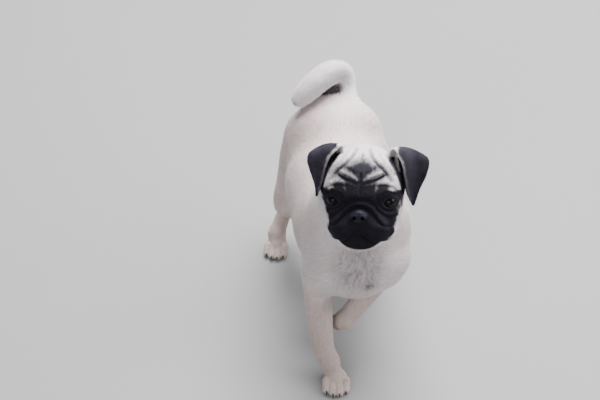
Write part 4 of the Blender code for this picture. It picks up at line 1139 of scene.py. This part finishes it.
def makeNoseMaterial():
    material, tree, surface = newMaterial("nose leather")
    pebbles = addPattern(tree, "TexVoronoi", {"Scale": 1300}).outputs["Distance"]
    tint = addNode(tree, "Mix", data_type="RGBA", sockets={
        "Factor": pebbles, "A": (0.013, 0.013, 0.021, 1), "B": (0.004, 0.004, 0.007, 1)})
    # painted shade: the nostrils' hollows are darkened nearly to black
    hollow = addNode(tree, "Attribute", attribute_name="hollow").outputs["Fac"]
    nostrilShade = addNode(tree, "Mix", data_type="RGBA", sockets={
        "Factor": hollow, "A": tint.outputs["Result"], "B": (0.001, 0.001, 0.0015, 1)})
    rough = addNode(tree, "MapRange", {"Value": hollow, "To Min": 0.46, "To Max": 0.95})
    bump = addNode(tree, "Bump", {"Strength": 0.5, "Distance": 0.0002, "Height": pebbles}, invert=True)
    feed(tree, surface, {
        "Base Color": nostrilShade.outputs["Result"], "Roughness": rough.outputs["Result"],
        "Normal": bump.outputs["Normal"], "Specular IOR Level": 0.15})
    return material


eyeRings = [  # share of the way from the middle of the gaze to the eye's side, and colour
    (0.0, (0.002, 0.002, 0.003)), (1.0, (0.30, 0.27, 0.26)), (0.32, (0.001, 0.001, 0.002)),
    (0.36, (0.005, 0.0035, 0.0025)), (0.54, (0.004, 0.003, 0.0025)), (0.57, (0.001, 0.001, 0.001)),
    (0.62, (0.002, 0.002, 0.002)), (0.65, (0.20, 0.19, 0.19)),
]


def makeEyeMaterial():
    material, tree, surface = newMaterial("eye")
    gaze = addNode(tree, "Attribute", attribute_name="gaze").outputs["Fac"]
    span = addNode(tree, "MapRange", {"Value": gaze, "From Max": 90})
    ramp = addNode(tree, "ValToRGB", {"Fac": span.outputs["Result"]})
    stops = ramp.color_ramp.elements
    for number, (position, shade) in enumerate(eyeRings):
        stop = stops[number] if number < 2 else stops.new(position)  # a new ramp has its two ends
        stop.position, stop.color = position, (*shade, 1)
    feed(tree, surface, {"Base Color": ramp.outputs["Color"], "Roughness": 0.08, "Specular IOR Level": 0.16})
    return material


def makeClawMaterial():
    material, tree, surface = newMaterial("claw horn")
    noise = addPattern(tree, "TexNoise", {"Scale": 700})
    ramp = addNode(tree, "ValToRGB", {"Fac": noise.outputs["Fac"]})
    dark, pale = ramp.color_ramp.elements
    dark.color, pale.color = (0.010, 0.009, 0.010, 1), (0.055, 0.045, 0.042, 1)
    feed(tree, surface, {"Base Color": ramp.outputs["Color"], "Roughness": 0.35})
    return material


def makeFloorMaterial():
    material, tree, surface = newMaterial("pale floor")
    noise = addPattern(tree, "TexNoise", {"Scale": 3})
    tint = addNode(tree, "Mix", data_type="RGBA", sockets={
        "Factor": noise.outputs["Fac"], "A": (0.30, 0.30, 0.297, 1), "B": (0.32, 0.32, 0.317, 1)})
    feed(tree, surface, {"Base Color": tint.outputs["Result"], "Roughness": 0.7})
    return material


def finishPiece(obj, material, nodes=(), smooth=True):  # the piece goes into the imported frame
    obj.data.transform(toFrame)
    if smooth:  # the tufts keep their own normals
        obj.data.shade_smooth()
    obj.data.materials.clear()
    obj.data.materials.append(material)
    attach(obj, "root")
    if nodes:
        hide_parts(*nodes)


# Camera and studio
camera = {"azimuth": -6, "elevation": 42, "distance": 2.4, "pixelsPerMetre": 710, "frame": (600, 400),
          "sensor": 36, "target": (-0.032, -0.170, 0.0), "targetPixel": (336, 386)}
studio = {
    "lights": [  # name, place, size, power
        ("sky light", (0.45, 1.0, 2.5), 2.0, 250), ("front fill", (-0.9, -2.2, 1.5), 1.6, 26),
        ("side fill", (1.8, -0.4, 1.4), 1.4, 36),
    ],
    "aim": (0, 0, 0.2), "lightColour": (0.98, 0.96, 1.0), "air": (0.93, 0.95, 1.0, 1), "airStrength": 0.44,
    "floorSize": 12,
}


def setCamera(shift):
    a, e = math.radians(camera["azimuth"]), math.radians(camera["elevation"])
    back = Vector((math.sin(a) * math.cos(e), -math.cos(a) * math.cos(e), math.sin(e)))
    right = Vector((math.cos(a), math.sin(a), 0))
    up = back.cross(right)
    scale, distance = camera["pixelsPerMetre"], camera["distance"]
    wide, tall = camera["frame"]
    u, v = camera["targetPixel"]
    view = newObject("photo camera", bpy.data.cameras.new("photo camera"))
    view.location = (Vector(camera["target"]) + shift + right * (wide / 2 - u) / scale
                     + up * (v - tall / 2) / scale + back * distance)
    view.rotation_mode = "QUATERNION"
    view.rotation_quaternion = (-back).to_track_quat("-Z", "Y")
    view.data.sensor_width = camera["sensor"]
    view.data.lens = camera["sensor"] * scale * distance / wide
    bpy.context.scene.camera = view


def setStudio():
    for name, spot, size, power in studio["lights"]:
        light = bpy.data.lights.new(name, "AREA")
        light.size, light.energy, light.color = size, power, studio["lightColour"]
        lamp = newObject(name, light)
        lamp.location = spot
        lamp.rotation_mode = "QUATERNION"
        lamp.rotation_quaternion = (Vector(studio["aim"]) - Vector(spot)).to_track_quat("-Z", "Y")
    world = bpy.data.worlds.new("studio")
    world.use_nodes = True
    feed(world.node_tree, world.node_tree.nodes["Background"], {
        "Color": studio["air"], "Strength": studio["airStrength"]})
    bpy.context.scene.world = world
    bm = bmesh.new()
    bmesh.ops.create_grid(bm, x_segments=2, y_segments=2, size=studio["floorSize"])
    floor = objectOf("floor", bm)
    floor.data.materials.append(makeFloorMaterial())


low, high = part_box("eye_left")
shift = (low + high) / 2 - eyeMatrix(1).translation  # from the dog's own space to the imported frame
toFrame = Matrix.Translation(shift)
print("shift", tuple(round(value, 5) for value in shift))
setCamera(shift)
setStudio()

skin = makeSkin()
skinPoints = coordinates(skin.data)
skinColour = coatColour(skinPoints)
print("skin coloured")
earPieces = {side: makeEar(side) for side in (1, -1)}
print("ears made")

grain = makeHairGrain()
skinMaterial = makeCoatMaterial("skin under the coat", grain, 900, 0.30, 0.5, 0.15)
coatMaterial = makeCoatMaterial("coat", grain, 1500, 0.16, 0.1, 0.35)

makeCoat(skin, skinPoints)
for side, ear in earPieces.items():
    dressEar(side, ear)

# painted shade: the skin is a tenth darker than the coat, for the shade between the tufts
setColours(skin.data, skinColour * 0.9)
fleshNodes = [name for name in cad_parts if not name.startswith(("ear", "eye", "nose"))]
finishPiece(skin, skinMaterial, fleshNodes)
finishPiece(makeNose(), makeNoseMaterial(), ["nose"])
eyeMaterial = makeEyeMaterial()
for side, node in ((1, "eye_left"), (-1, "eye_right")):
    finishPiece(makeEye(side), eyeMaterial, [node])
finishPiece(makeClaws(), makeClawMaterial())
print("face and claws made")
